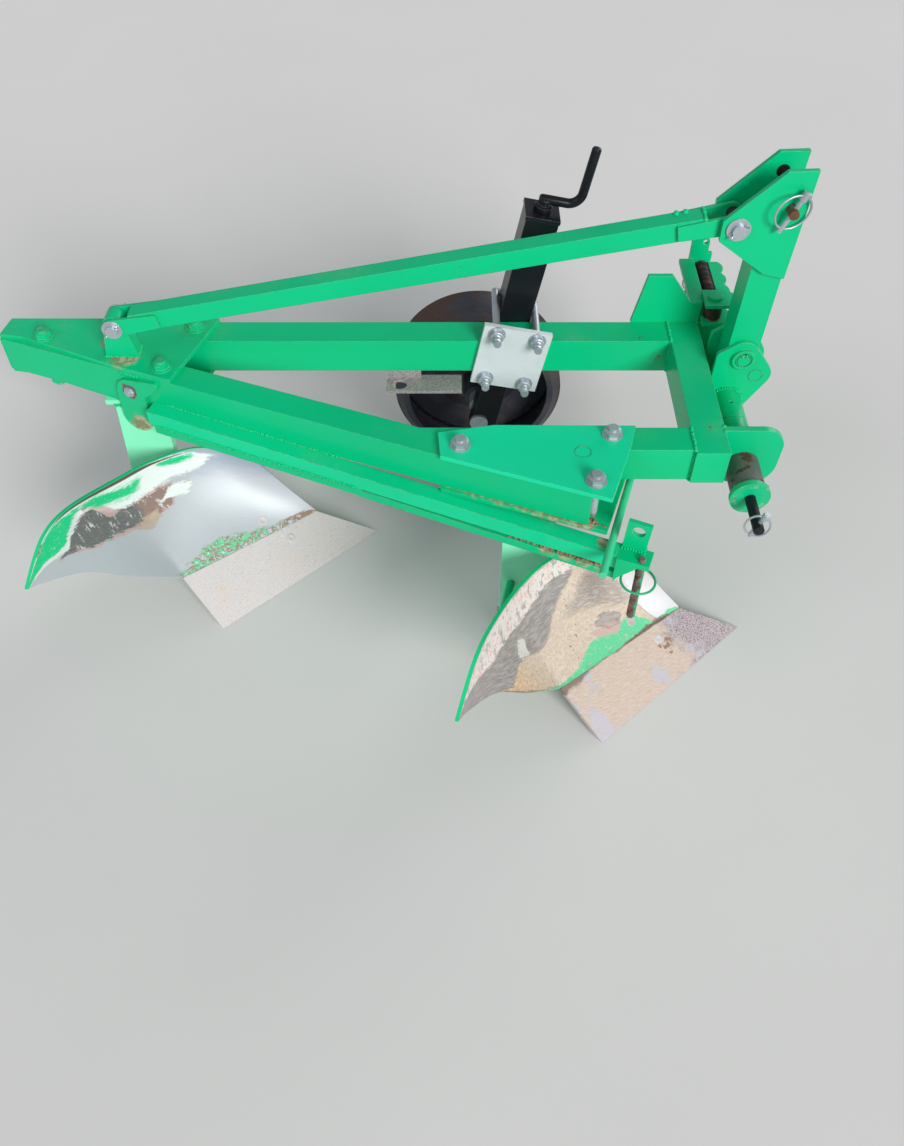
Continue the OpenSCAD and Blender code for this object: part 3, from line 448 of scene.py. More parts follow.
FRONT_ZONES = {
    "pink": (
        [(0, 1), (0.24, 0.8), (0.42, 0.72), (0.64, 0.6), (0.8, 0.5), (0.94, 0.8), (1, 1)],
        [(0, 1), (0.4, 0.98), (0.7, 0.97), (1, 0.9)],
    ),
    # A painted highlight: a near-white flash in the middle of the board
    "painted_flash": (
        [(0, 1), (0.53, 0.5), (0.57, 0.3), (0.61, 0.38), (1, 1)],
        [(0, 0), (0.53, 0.5), (0.55, 0.53), (0.61, 0.38), (1, 0)],
    ),
    "soil": (
        [(0, 0), (1, 0)],
        [(0, 0), (0.08, 0.02), (0.13, 0.6), (0.15, 1), (0.2, 1), (0.26, 0.74), (0.38, 0.5), (0.48, 0.34),
         (0.59, 0.34), (0.68, 0.2), (0.77, 0.04), (1, 0)],
    ),
    "thin soil": (
        [(0, 0.4), (0.2, 0.36), (0.3, 0.4), (1, 0.4)],
        [(0, 0.74), (0.2, 0.72), (0.32, 0.46), (1, 0)],
    ),
    "clear of soil": (
        [(0, 1), (0.19, 0.24), (0.23, 0.17), (0.29, 0.24), (1, 1)],
        [(0, 0), (0.19, 0.25), (0.23, 0.29), (0.28, 0.24), (1, 0)],
    ),
    "rose": (
        [(0, 1), (0.2, 0.16), (0.26, 0.1), (0.32, 0.18), (1, 1)],
        [(0, 0), (0.2, 0.17), (0.26, 0.2), (0.31, 0.19), (1, 0)],
    ),
    "green by the share": (
        [(0, 0.02), (0.12, 0.04), (0.2, 0.02), (0.3, 0), (1, 0)],
        [(0, 0), (0.04, 0.09), (0.07, 0.05), (0.11, 0.05), (0.13, 0.11), (0.18, 0.19), (0.24, 0.11),
         (0.31, 0.14), (0.39, 0.07), (0.46, 0.03), (0.55, 0.01), (0.6, 0), (1, 0)],
    ),
    "seam": (
        [(0, 0), (1, 0)],
        [(0, 0.05), (0.16, 0.05), (0.24, 0.012), (0.55, 0.008), (1, 0)],
    ),
}


class BoardFinish(Finish):
    """A finish on the board's own map, with the noises that its patterns share."""

    def __init__(self, name, zones):
        super().__init__(name)
        self.zones = zones
        uv = self.node("ShaderNodeUVMap").outputs["UV"]
        self.u = self.axis("X", uv)
        self.v = self.axis("Y", uv)
        self.fine = self.noise(150.0, 5.0, 0.7)
        self.scratch = self.noise(5.0, 4.0, 0.6, vector=uv, stretch=(6.0, 90.0, 1.0))
        self.broken = self.noise(9.0, 6.0, 0.75, vector=uv, stretch=(2.2, 3.6, 1.0))
        coarse = self.times(self.sums("SUBTRACT", self.broken, 0.5), 0.16)
        small = self.times(self.sums("SUBTRACT", self.fine, 0.5), 0.05)
        self.ragged = self.sums("ADD", coarse, small)

    def line(self, points):
        """The height of a broken line over the board's length, both from 0 to 1."""
        made = self.node("ShaderNodeFloatCurve")
        curve = made.mapping.curves[0]
        for x, y in points[1:-1]:
            curve.points.new(x, y)
        for point, (x, y) in zip(curve.points, points):
            point.location = (x, y)
        made.mapping.update()
        self.put(made.inputs["Value"], self.u)
        return made.outputs[0]

    def zone(self, name, soft=0.012, uneven=1.0):
        """1 between the two lines of a zone, with ragged rims."""
        lower, upper = self.zones[name]
        shaken = self.sums("ADD", self.v, self.times(self.ragged, uneven) if uneven else 0.0)
        above = self.step(self.sums("SUBTRACT", shaken, self.line(lower)), -soft, soft)
        below = self.step(self.sums("SUBTRACT", self.line(upper), shaken), -soft, soft)
        return self.times(above, below)


def rear_board_steel():
    """Polished share side, a dark bare zone, white and green bands under the top edge and a painted wing."""
    f = BoardFinish("rear_board_steel", REAR_ZONES)
    out = f.mix(f.scratch, linear(176, 182, 190), linear(206, 211, 217))
    dull = f.step(f.sums("ADD", f.v, f.times(f.broken, 0.4)), 0.8, 1.1)
    out = f.mix(f.times(dull, 0.8, f.step(f.u, 0.42, 0.3)), out, linear(160, 170, 188))
    dusty = f.times(f.step(f.broken, 0.56, 0.66), f.step(f.u, 0.2, 0.45), 0.5)
    out = f.mix(dusty, out, linear(200, 190, 176))
    white = f.zone("white", 0.02)
    out = f.mix(white, out, WHITE_STREAK)
    blot = f.noise(10.0, 4.0, 0.6)
    green = f.most(f.zone("long green", 0.03), f.zone("short green", 0.02))
    dark = f.zone("dark", 0.01)
    rim = f.times(f.zone("rim", 0.01), f.step(blot, 0.44, 0.5), 0.75)
    out = f.mix(rim, out, linear(204, 166, 162))
    grey = f.mix(f.step(f.scratch, 0.5, 0.62), linear(98, 102, 100), linear(136, 138, 136))
    inner = f.step(f.sums("ADD", f.u, f.times(f.ragged, 0.7)), 0.47, 0.5)
    brown = f.mix(f.step(blot, 0.46, 0.52), linear(184, 168, 156), linear(146, 124, 116))
    patchy = f.mix(inner, brown, grey)
    marks = f.step(f.noise(22.0, 6.0, 0.8, stretch=(1.0, 3.0, 1.0)), 0.57, 0.62)
    out = f.mix(dark, out, f.mix(marks, patchy, linear(206, 208, 208)))
    out = f.mix(f.zone("white end"), out, WHITE_STREAK)
    out = f.mix(f.times(f.zone("tan"), 0.75), out, linear(188, 170, 150))
    wing = f.zone("wing", 0.02)
    halo = f.zone("round the wing", 0.02)
    out = f.mix(halo, out, WHITE_STREAK)
    out = f.mix(f.times(halo, f.step(blot, 0.54, 0.58)), out, linear(150, 138, 126))
    strip = f.zone("along the share")
    sown = f.noise(70.0, 3.0, 0.8)
    out = f.mix(f.times(strip, f.step(sown, 0.42, 0.46)), out, linear(150, 126, 108))
    spotted = f.times(strip, f.step(sown, 0.5, 0.53), f.step(f.u, 0.1, 0.16))
    leaf = f.step(f.fine, 0.56, 0.66)
    left = f.most(green, f.times(wing, f.step(blot, 0.6, 0.54)))
    out = f.mix(f.times(left, f.blend(leaf, 1.0, 0.75)), out, GREEN_LEFT)
    out = f.mix(spotted, out, f.mix(leaf, linear(112, 214, 166), WHITE_STREAK))
    out = f.mix(f.zone("top seam", 0.004, 0.0), out, linear(92, 88, 78))
    edge = f.times(f.step(f.v, 0.99, 0.996), f.step(f.u, 0.1, 0.16))
    out = f.mix(edge, out, GREEN_LEFT)
    unpolished = f.most(green, wing, strip, edge, dark, white)
    rough = f.blend(unpolished, f.blend(f.scratch, 0.46, 0.56), 0.6)
    height = f.sums("ADD", f.times(f.scratch, 0.3), f.times(unpolished, 0.5))
    return f.finish(out, f.times(f.rest(unpolished), 0.3), rough, height, 0.0006, 0.3)


def front_board_steel():
    """Dry soil by the share, scratched grey steel on the wing, pink primer under the top edge and a painted
    highlight in the middle.
    """
    f = BoardFinish("front_board_steel", FRONT_ZONES)
    grey = f.mix(f.step(f.broken, 0.42, 0.62), linear(148, 144, 143), linear(182, 175, 173))
    grey = f.mix(f.step(f.scratch, 0.54, 0.66), grey, linear(206, 203, 201))
    pale = f.step(f.sums("ADD", f.u, f.ragged), 0.16, 0.1)
    out = f.mix(pale, grey, linear(222, 222, 226))
    pink = f.zone("pink")
    patchy = f.noise(26.0, 6.0, 0.8, stretch=(1.0, 2.0, 1.0))
    out = f.mix(f.times(pink, f.step(patchy, 0.4, 0.5)), out, linear(226, 222, 218))
    out = f.mix(f.times(pink, f.step(patchy, 0.53, 0.58), 0.7), out, linear(224, 160, 160))
    # Painted highlight: a near-white flash in the board's middle, broken up by noise.
    painted_flash = f.times(f.zone("painted_flash", uneven=2.0), f.step(patchy, 0.36, 0.44))
    out = f.mix(painted_flash, out, linear(226, 224, 220))
    soil = f.zone("soil", 0.02)
    thin = f.times(f.zone("thin soil", 0.05, 2.0), f.step(f.broken, 0.36, 0.56), 0.8)
    soil = f.times(soil, f.rest(thin))
    soil = f.times(soil, f.rest(f.times(f.zone("clear of soil"), 0.8)))
    low = f.times(f.step(f.v, 0.5, 0.1), f.step(f.u, 0.5, 0.7))
    ground = f.mix(f.noise(7.0, 3.0), linear(192, 174, 158), linear(210, 194, 179))
    ground = f.mix(low, ground, linear(204, 172, 134))
    ground = f.mix(f.times(f.step(f.fine, 0.42, 0.62), 0.6), ground, linear(226, 214, 200))
    crumbs = f.times(f.step(f.noise(95.0, 3.0, 0.8), 0.64, 0.67), f.step(f.noise(18.0, 2.0), 0.46, 0.56))
    ground = f.mix(crumbs, ground, linear(112, 86, 70))
    out = f.mix(soil, out, ground)
    rose = f.zone("rose")
    out = f.mix(rose, out, linear(202, 176, 168))
    kept = f.zone("green by the share", 0.008, 0.6)
    seam = f.zone("seam", 0.01, 0.5)
    out = f.mix(seam, out, linear(122, 104, 92))
    edge = f.step(f.v, 0.99, 0.996)
    kept = f.most(kept, edge)
    chipped = f.step(f.noise(120.0, 3.0, 0.8), 0.6, 0.63)
    spare = f.mix(chipped, linear(104, 208, 156), linear(206, 190, 166))
    out = f.mix(kept, out, f.mix(edge, spare, GREEN_LEFT))
    dull = f.most(soil, kept, seam, rose)
    rough = f.blend(dull, f.blend(f.scratch, 0.46, 0.6), 0.92)
    height = f.sums("ADD", f.times(f.scratch, 0.2), f.times(soil, f.sums("ADD", 0.8, f.fine)))
    return f.finish(out, f.times(f.rest(f.most(dull, pink)), 0.3), rough, height, 0.0009, 0.3)


# A share's cutting edge and slope, as ways of length one
SHARE_TURN = math.radians(221.9)
SHARE_TILT = math.radians(36)
SHARE_ALONG = np.array([math.cos(SHARE_TURN), math.sin(SHARE_TURN), 0.0])
SHARE_LEVEL = np.array([SHARE_ALONG[1], -SHARE_ALONG[0], 0.0])
SHARE_SLOPE = SHARE_LEVEL * math.cos(SHARE_TILT) + np.array([0, 0, math.sin(SHARE_TILT)])
SMEAR = (190, 78)


def on_share(body, along, slope):
    """A place on a share in millimetres along its cutting edge and up its slope."""
    return at(*(body + SHARE_ALONG * along + SHARE_SLOPE * slope))


def share_steel(name, body, muddy):
    """Sandy steel of a share, by the distance along its cutting edge and up its slope."""
    f = Finish(name)
    away = f.vectors("SUBTRACT", f.place, at(*body))
    a = f.times(f.vectors("DOT_PRODUCT", away, tuple(SHARE_ALONG), "Value"), 2.0)
    b = f.times(f.vectors("DOT_PRODUCT", away, tuple(SHARE_SLOPE), "Value"), 6.0)
    drawn = f.join(f.sums("ADD", a, f.times(b, 0.35)), f.sums("SUBTRACT", b, f.times(a, 0.9)), 0.0)
    grain = f.noise(460.0, 3.0, 0.8)
    fine = f.noise(90.0, 4.0)
    broad = f.noise(11.0, 5.0, 0.65)
    if not muddy:
        out = f.mix(f.step(grain, 0.4, 0.62), linear(204, 198, 199), linear(226, 220, 219))
        out = f.mix(f.times(f.step(broad, 0.56, 0.7), 0.6), out, linear(220, 204, 190))
        out = f.mix(f.step(f.noise(240.0, 2.0), 0.7, 0.73), out, linear(150, 132, 124))
        return f.finish(out, 0.2, f.blend(fine, 0.5, 0.62), f.times(grain, 0.5), 0.0009)
    drag = f.noise(6.0, 5.0, 0.75, vector=drawn, stretch=(3.0, 16.0, 1.0))
    coarse = f.times(f.sums("SUBTRACT", broad, 0.5), 0.5)
    ragged = f.sums("ADD", coarse, f.times(f.sums("SUBTRACT", fine, 0.5), 0.12))
    tip = f.step(f.sums("ADD", a, ragged), 0.4, 0.28)
    sand = f.mix(f.step(grain, 0.44, 0.56), linear(140, 128, 134), linear(202, 191, 195))
    sand = f.mix(f.step(f.noise(300.0, 2.0, 0.6), 0.6, 0.64), sand, linear(96, 82, 86))
    ground = f.mix(f.step(drag, 0.4, 0.6), linear(196, 176, 162), linear(216, 200, 188))
    ground = f.mix(f.step(drag, 0.64, 0.68), ground, linear(128, 106, 94))
    clean = f.step(f.sums("ADD", f.noise(8.0, 4.0), f.times(fine, 0.12)), 0.62, 0.68)
    clean = f.times(clean, 0.85)
    out = f.mix(tip, ground, sand)
    out = f.mix(clean, out, f.mix(grain, linear(178, 176, 190), linear(222, 220, 230)))
    smear = f.near(tuple(on_share(body, *SMEAR)), 0.02, 0.5, 0.9, 60.0)
    out = f.mix(f.times(smear, f.step(fine, 0.44, 0.52)), out, linear(150, 122, 106))
    rim = f.step(f.sums("ADD", b, f.times(ragged, 0.5)), 0.79, 0.85)
    out = f.mix(f.times(rim, 0.8), out, linear(120, 100, 88))
    rough = f.blend(f.most(tip, clean), 0.92, 0.6)
    height = f.sums("ADD", f.times(grain, 0.4), f.times(drag, f.rest(tip)))
    return f.finish(out, f.times(clean, 0.5), rough, height, 0.0009)


class PaintSizes(bpy.types.PropertyGroup):
    colour: FloatVectorProperty(
        name="Paint", description="Colour of the green paint", subtype="COLOR", size=3, min=0, max=1,
        default=linear(2, 192, 130),
    )
    chips: FloatProperty(
        name="Chips", description="How much paint has chipped off", default=0.6, min=0, max=1
    )
    dust: FloatProperty(
        name="Dust", description="How much dust lies on the top faces", default=0.1, min=0, max=1
    )


def settings(name):
    return getattr(bpy.context.scene, name)


def give(node, material):
    """Puts one material on a CAD node."""
    mesh = CAD[node].data
    mesh.materials.clear()
    mesh.materials.append(material)


FINISHES = {}
FINISHED_NODES = {
    "zinc": ["column_ubolts", "wheel_axle", "top_linch_pin"],
    "clamp": ["column_clamp"],
    "frame_bolt": ["frame_bolts"],
    "stay_pin": ["stay_pins"],
    "bush": ["bush_right", "bush_left"],
    "spindle": ["adjuster_spindle"],
    "black_paint": ["column", "crank", "wheel_mast"],
    "wheel": ["depth_wheel", "wheel_band"],
    "blackened": ["lower_pin_right", "lower_pin_left", "block_pin"],
    "rusty": ["top_link_pin"],
    "sandy": ["front_landside", "rear_landside", "under_beam_bar"],
    "gusset": ["rear_gusset_top"],
    "rail": ["side_rail"],
    "front_gusset": ["front_gusset_top"],
    "lower_gusset": ["front_gusset_bottom"],
    "leg": ["front_leg", "rear_leg"],
    "rod": ["brace_rod"],
    "strip": ["lower_strip"],
    "ear": ["rear_ear"],
    "far_clevis": ["clevis_plate_left"],
    "cross": ["cross_tube"],
}

# Dry soil, chipped spots and the painted shade of holes, each a place, its reach in metres and its stretch
GUSSET_SOIL = [(at(-700, -20, GUSSET_TOP), 0.03, EVEN), (at(-742, 32, GUSSET_TOP), 0.02, EVEN)]
RAIL_SOIL = [(diagonal(440, -312, rail_height(440)), 0.014, EVEN)]
STRIP_SOIL = [(diagonal(s, -322, 362), 0.02, EVEN) for s in (330, 372, 410, 440)]
LOWER_GUSSET_SOIL = [(diagonal(s, -296, 427), 0.008 + 0.00002 * s, EVEN) for s in range(110, 400, 18)]
BLOCK_ROD_RUST = [(at(359, -502, z), 0.011, (1.0, 1.0, 0.5)) for z in (250, 290, 330, 370, 404)]
EAR_SOIL = [(diagonal(-616, -312, 372), 0.024, EVEN)]
EAR_RUST = [(diagonal(-623, -312, 463), 0.019, EVEN)]
CROSS_CHIPS = [
    (at(549, -292, 500), 0.005, EVEN), (at(520, -232, 507), 0.004, EVEN), (at(549, -250, 470), 0.004, EVEN),
]
# Painted shade of a hole in the far clevis plate, which is not modelled
CLEVIS_HOLE_SHADE = [(at(621, 32, 909), 0.013)]

# Where the stay's pins and the spacer bushes change their steel, in metres left or right of the hitch centre
STAY_PIN_END = 0.039
BUSH_COLLAR = 0.3305


def mixed_steels(colour):
    """Steels that change from one tone to another along a piece."""
    front = at(-300, 0, 0).x
    beyond = 10.0
    return {
        "frame_bolt": split_steel("frame_bolt_steel", ("X", front), (colour, linear(120, 190, 160)),
                                  (ZINC, linear(156, 164, 168))),
        "stay_pin": split_steel("stay_pin_steel", ("Y", STAY_PIN_END),
                                (linear(66, 60, 58), linear(92, 70, 60)), (ZINC, linear(150, 156, 162))),
        "bush": split_steel("bush_steel", ("Y", BUSH_COLLAR), (linear(112, 118, 116), linear(92, 66, 52)),
                            (colour, linear(110, 190, 150)), 0.25),
        "spindle": split_steel("spindle_steel", ("X", beyond), (linear(44, 46, 56), linear(96, 62, 52)),
                               (colour, colour), 0.4),
    }


class PLOUGH_OT_finishes(bpy.types.Operator):
    """Gives every CAD node its paint or steel"""

    bl_idname = "plough.finishes"
    bl_label = "Finishes"

    def execute(self, context):
        sizes = settings("plough_paint")
        colour, chips, dust = tuple(sizes.colour), sizes.chips, sizes.dust
        low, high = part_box("wheel_band")
        FINISHES.update({
            "green": paint("green_paint", colour, chips, dust),
            "gusset": paint("gusset_paint", colour, chips, dust, GUSSET_SOIL),
            # Painted light: the front gusset and the side rail get lighter copies of the green, for the light
            # that falls on them.
            "front_gusset": paint("front_gusset_paint", linear(14, 218, 160), 0.7, 0.05),
            "rail": paint("rail_paint", linear(8, 208, 148), 1.0, 0.1, RAIL_SOIL, reach=0.003),
            "strip": paint("strip_paint", colour, 1.0, 0.2, STRIP_SOIL, reach=0.003),
            "lower_gusset": paint("lower_gusset_paint", colour, 0.9, dust, LOWER_GUSSET_SOIL),
            # Painted highlight: the legs get a pale, near-white green for the glare of light on them.
            "leg": paint("leg_paint", linear(134, 234, 190), 0.6, 0.2),
            "rod": paint("rod_paint", linear(70, 208, 156), 1.0, 0.2, reach=0.004),
            "block_rod": paint("block_rod_paint", linear(54, 176, 128), 1.0, 0.2, stains=BLOCK_ROD_RUST,
                               reach=0.003),
            "ear": paint("ear_paint", colour, 0.8, dust, EAR_SOIL, EAR_RUST),
            "far_clevis": paint("far_clevis_paint", colour, chips, dust, shaded_holes=CLEVIS_HOLE_SHADE),
            "cross": paint("cross_paint", colour, 0.8, dust, stains=CROSS_CHIPS),
            "bolt_green": paint("bolt_green", colour, 1.0, dust),
            "black_paint": paint("black_paint", linear(22, 24, 30), 0.45, 0.25),
            "zinc": steel("zinc", ZINC, 0.34, (60, 60, 60), 0.4, 0.72, linear(140, 146, 152)),
            "clamp": steel("clamp_zinc", linear(226, 234, 240), 0.44, (40, 40, 40), 0.3, 0.2,
                           linear(192, 199, 205)),
            "blackened": steel("blackened", linear(42, 42, 50), 0.4, (40, 200, 40), 0.4, 0.7,
                               linear(70, 60, 58)),
            "plug": steel("plug_steel", linear(212, 210, 212), 0.55, (90, 90, 90), 0.6, 0.15,
                          linear(176, 162, 150)),
            "wheel": wheel_steel("wheel_steel", (low + high) / 2),
            "rusty": rusty("rusty"),
            "sandy": sandy("sandy"),
            "soil": soil_cover("soil"),
            **mixed_steels(colour),
        })
        for node in CAD:
            give(node, FINISHES["green"])
        for name, nodes in FINISHED_NODES.items():
            for node in nodes:
                give(node, FINISHES[name])
        for name, body in BODIES.items():
            give(name + "_share", share_steel(name + "_share_steel", body, name == "front"))
        return {"FINISHED"}


# Making meshes

def across(axis):
    """The axis as a way of length one, with two more square to it."""
    up = Vector(axis).normalized()
    side = up.orthogonal().normalized()
    return up, side, up.cross(side)


class Shape:
    """Gathers closed parts in metres and makes one finished piece of them."""

    def __init__(self):
        self.points = []
        self.faces = []

    def add(self, points, faces):
        start = len(self.points)
        self.points += [tuple(p) for p in points]
        self.faces += [tuple(start + i for i in face) for face in faces]

    def rings(self, points, count, sides):
        """Skins rings of points, each of as many sides, and closes both ends."""
        faces = []
        for j in range(count - 1):
            for k in range(sides):
                after = (k + 1) % sides
                faces.append((j * sides + k, j * sides + after, (j + 1) * sides + after, (j + 1) * sides + k))
        faces.append(tuple(range(sides))[::-1])
        faces.append(tuple((count - 1) * sides + k for k in range(sides)))
        self.add(points, faces)

    def turned(self, profile, place, axis, sides=32):
        """A turned part: pairs of radius and height in millimetres along the axis."""
        up, side, other = across(axis)
        points = []
        for radius, height in profile:
            for k in range(sides):
                angle = 2 * math.pi * k / sides
                out = side * math.cos(angle) + other * math.sin(angle)
                points.append(Vector(place) + up * height * MM + out * radius * MM)
        self.rings(points, len(profile), sides)

    def ring(self, inner, outer, low, high, place, axis, sides=36, bevel=0.5):
        """A flat washer or collar between two radii and two heights in millimetres."""
        loop = [(inner, low), (outer - bevel, low), (outer, low + bevel)]
        loop += [(outer, high - bevel), (outer - bevel, high), (inner, high)]
        up, side, other = across(axis)
        count = len(loop)
        points = []
        faces = []
        for k in range(sides):
            angle = 2 * math.pi * k / sides
            out = side * math.cos(angle) + other * math.sin(angle)
            points += [Vector(place) + up * h * MM + out * r * MM for r, h in loop]
            after = (k + 1) % sides
            for j in range(count):
                m = (j + 1) % count
                faces.append((k * count + j, after * count + j, after * count + m, k * count + m))
        self.add(points, faces)

    def tube(self, path, radius, sides=10, closed=False):
        """A round bar along points in metres, with one radius in millimetres or one for each point."""
        path = [Vector(p) for p in path]
        count = len(path)
        points = []
        before = None
        for i, p in enumerate(path):
            ahead = path[(i + 1) % count] if closed or i + 1 < count else p
            behind = path[i - 1] if closed or i else p
            run = (ahead - behind).normalized()
            side = run.orthogonal() if before is None else before - run * before.dot(run)
            side.normalize()
            before = side
            other = run.cross(side)
            size = radius[i] if isinstance(radius, (list, tuple)) else radius
            for k in range(sides):
                angle = 2 * math.pi * k / sides
                points.append(p + (side * math.cos(angle) + other * math.sin(angle)) * size * MM)
        if not closed:
            self.rings(points, count, sides)
            return
        faces = []
        for i in range(count):
            j = (i + 1) % count
            for k in range(sides):
                after = (k + 1) % sides
                faces.append((i * sides + k, i * sides + after, j * sides + after, j * sides + k))
        self.add(points, faces)

    def piece(self, name, material, slot):
        mesh = bpy.data.meshes.new(name)
        mesh.from_pydata(self.points, [], self.faces)
        return settle(name, mesh, material)


def settle(name, mesh, material, body="frame", angle=38):
    """Closes seams, turns the faces outwards and makes the piece ride on its body."""
    work = bmesh.new()
    work.from_mesh(mesh)
    bmesh.ops.remove_doubles(work, verts=work.verts, dist=1e-6)
    bmesh.ops.dissolve_degenerate(work, edges=work.edges, dist=1e-7)
    bmesh.ops.recalc_face_normals(work, faces=work.faces)
    work.to_mesh(mesh)
    work.free()
    mesh.materials.clear()
    mesh.materials.append(material)
    mesh.shade_smooth()
    mesh.set_sharp_from_angle(angle=math.radians(angle))
    piece = bpy.data.objects.new(name, mesh)
    bpy.context.collection.objects.link(piece)
    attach(piece, body)
    return piece


def arc(middle, first, second, start, end, steps):
    """Points of an arc in the plane of two vectors, angles in degrees."""
    points = []
    for k in range(steps + 1):
        angle = math.radians(start + (end - start) * k / steps)
        points.append(Vector(middle) + Vector(first) * math.cos(angle) + Vector(second) * math.sin(angle))
    return points


# Geometry Nodes for what repeats

class Growth:
    """One geometry tree with named inputs that ends in real faces with a material."""

    def __init__(self, name, sizes):
        self.group = bpy.data.node_groups.new(name, "GeometryNodeTree")
        interface = self.group.interface
        interface.new_socket("Geometry", in_out="INPUT", socket_type="NodeSocketGeometry")
        interface.new_socket("Geometry", in_out="OUTPUT", socket_type="NodeSocketGeometry")
        interface.new_socket("Finish", in_out="INPUT", socket_type="NodeSocketMaterial")
        for key, default in sizes.items():
            kind = "NodeSocketInt" if isinstance(default, int) else "NodeSocketFloat"
            interface.new_socket(key, in_out="INPUT", socket_type=kind).default_value = default
        self.entry = self.node("NodeGroupInput")

    def read(self, name):
        return self.entry.outputs[name]

    def put(self, socket, value):
        if isinstance(value, bpy.types.NodeSocket):
            self.group.links.new(value, socket)
        else:
            socket.default_value = value

    def node(self, kind, inputs=None, **settings):
        made = self.group.nodes.new(kind)
        for key, value in settings.items():
            setattr(made, key, value)
        for key, value in (inputs or {}).items():
            self.put(made.inputs[key], value)
        return made

    def sums(self, operation, first, second=0.0):
        return self.node("ShaderNodeMath", {0: first, 1: second}, operation=operation).outputs[0]

    def vector(self, x, y, z):
        return self.node("ShaderNodeCombineXYZ", {"X": x, "Y": y, "Z": z}).outputs[0]

    def lifted(self, made, height):
        """The made shape moved up by the height."""
        shift = self.vector(0.0, 0.0, height)
        moved = self.node("GeometryNodeTransform", {"Geometry": made.outputs[0], "Translation": shift})
        return moved.outputs[0]

    def join(self, *parts):
        made = self.node("GeometryNodeJoinGeometry")
        for part in reversed(parts):
            self.group.links.new(part, made.inputs[0])
        return made.outputs[0]

    def at_spots(self, shape):
        """The shape at each loose point, turned and sized by the point's own values."""
        turn = self.node("GeometryNodeInputNamedAttribute", {"Name": "turn"}, data_type="FLOAT_VECTOR")
        scale = self.node("GeometryNodeInputNamedAttribute", {"Name": "size"}, data_type="FLOAT")
        loose = {"Mesh": self.read("Geometry"), "Radius": 0.001}
        points = self.node("GeometryNodeMeshToPoints", loose).outputs[0]
        placed = {"Points": points, "Instance": shape, "Rotation": turn.outputs[0], "Scale": scale.outputs[0]}
        self.end(self.node("GeometryNodeInstanceOnPoints", placed).outputs[0])

    def end(self, geometry):
        real = self.node("GeometryNodeRealizeInstances", {"Geometry": geometry}).outputs[0]
        done = self.node("GeometryNodeSetMaterial", {"Geometry": real, "Material": self.read("Finish")})
        self.node("NodeGroupOutput", {"Geometry": done.outputs[0]})

    def identifier(self, name):
        items = self.group.interface.items_tree
        return next(s.identifier for s in items if s.name == name and s.in_out == "INPUT")


def grow(name, base, growth, values, material, body="frame", angle=38):
    """Runs the tree on the base mesh and keeps the result as a plain mesh."""
    holder = bpy.data.objects.new(name + "_base", base)
    bpy.context.collection.objects.link(holder)
    modifier = holder.modifiers.new("growth", "NODES")
    modifier.node_group = growth.group
    modifier[growth.identifier("Finish")] = material
    for key, value in values.items():
        modifier[growth.identifier(key)] = value
    graph = bpy.context.evaluated_depsgraph_get()
    mesh = bpy.data.meshes.new_from_object(holder.evaluated_get(graph))
    holder.modifiers.remove(modifier)
    bpy.data.objects.remove(holder)
    mesh.name = name
    return settle(name, mesh, material, body, angle)


def lines(paths):
    """A mesh of edges only, one run of points in metres for each path."""
    points, edges = [], []
    for path in paths:
        start = len(points)
        points += [tuple(p) for p in path]
        edges += [(start + k, start + k + 1) for k in range(len(path) - 1)]
    mesh = bpy.data.meshes.new("lines")
    mesh.from_pydata(points, edges, [])
    return mesh


def spots(places, axis, size=1.0):
    """Loose points with a direction and a size each, for bolts and nuts."""
    mesh = bpy.data.meshes.new("spots")
    mesh.from_pydata([tuple(place) for place in places], [], [])
    for name, kind in (("turn", "FLOAT_VECTOR"), ("size", "FLOAT")):
        mesh.attributes.new(name, kind, "POINT")
    turn = list(Vector(axis).to_track_quat("Z", "Y").to_euler())
    mesh.attributes["turn"].data.foreach_set("vector", turn * len(places))
    mesh.attributes["size"].data.foreach_set("value", [size] * len(places))
    return mesh


def bead_growth():
    """Overlapping ripples along lines: weld beads, and with other sizes lumps of soil."""
    g = Growth("beads", {"Spacing": 0.004, "Radius": 0.004, "Flatness": 0.6, "Unevenness": 0.2, "Seed": 3})
    radius, uneven, seed = g.read("Radius"), g.read("Unevenness"), g.read("Seed")
    curve = g.node("GeometryNodeMeshToCurve", {"Mesh": g.read("Geometry")}).outputs[0]
    even = g.node("GeometryNodeResampleCurve", {"Curve": curve, "Length": g.read("Spacing")}, mode="LENGTH")
    tangent = g.node("GeometryNodeInputTangent").outputs[0]
    turn = g.node("FunctionNodeAlignRotationToVector", {"Vector": tangent}, axis="Z").outputs[0]
    ball = g.node("GeometryNodeMeshUVSphere", {"Segments": 8, "Rings": 5, "Radius": radius})
    limits = {2: g.sums("SUBTRACT", 1.0, uneven), 3: g.sums("ADD", 1.0, uneven), "Seed": seed}
    chance = g.node("FunctionNodeRandomValue", limits, data_type="FLOAT").outputs[1]
    shift = g.sums("MULTIPLY", radius, uneven)
    less = g.sums("MULTIPLY", shift, -1.0)
    limits = {0: g.vector(less, less, less), 1: g.vector(shift, shift, shift), "Seed": seed}
    offset = g.node("FunctionNodeRandomValue", limits, data_type="FLOAT_VECTOR").outputs[0]
    moved = g.node("GeometryNodeSetPosition", {"Geometry": even.outputs[0], "Offset": offset}).outputs[0]
    size = g.vector(chance, chance, g.read("Flatness"))
    placed = {"Points": moved, "Instance": ball.outputs["Mesh"], "Rotation": turn, "Scale": size}
    g.end(g.node("GeometryNodeInstanceOnPoints", placed).outputs[0])
    return g


# A nut's chamfer as shares of its corner radius, and the heights of chamfer and washer in metres
CHAMFER_WIDE, CHAMFER_TOP = 0.93, 0.8
CHAMFER_HEIGHT = 0.0012
WASHER_HEIGHT = 0.003


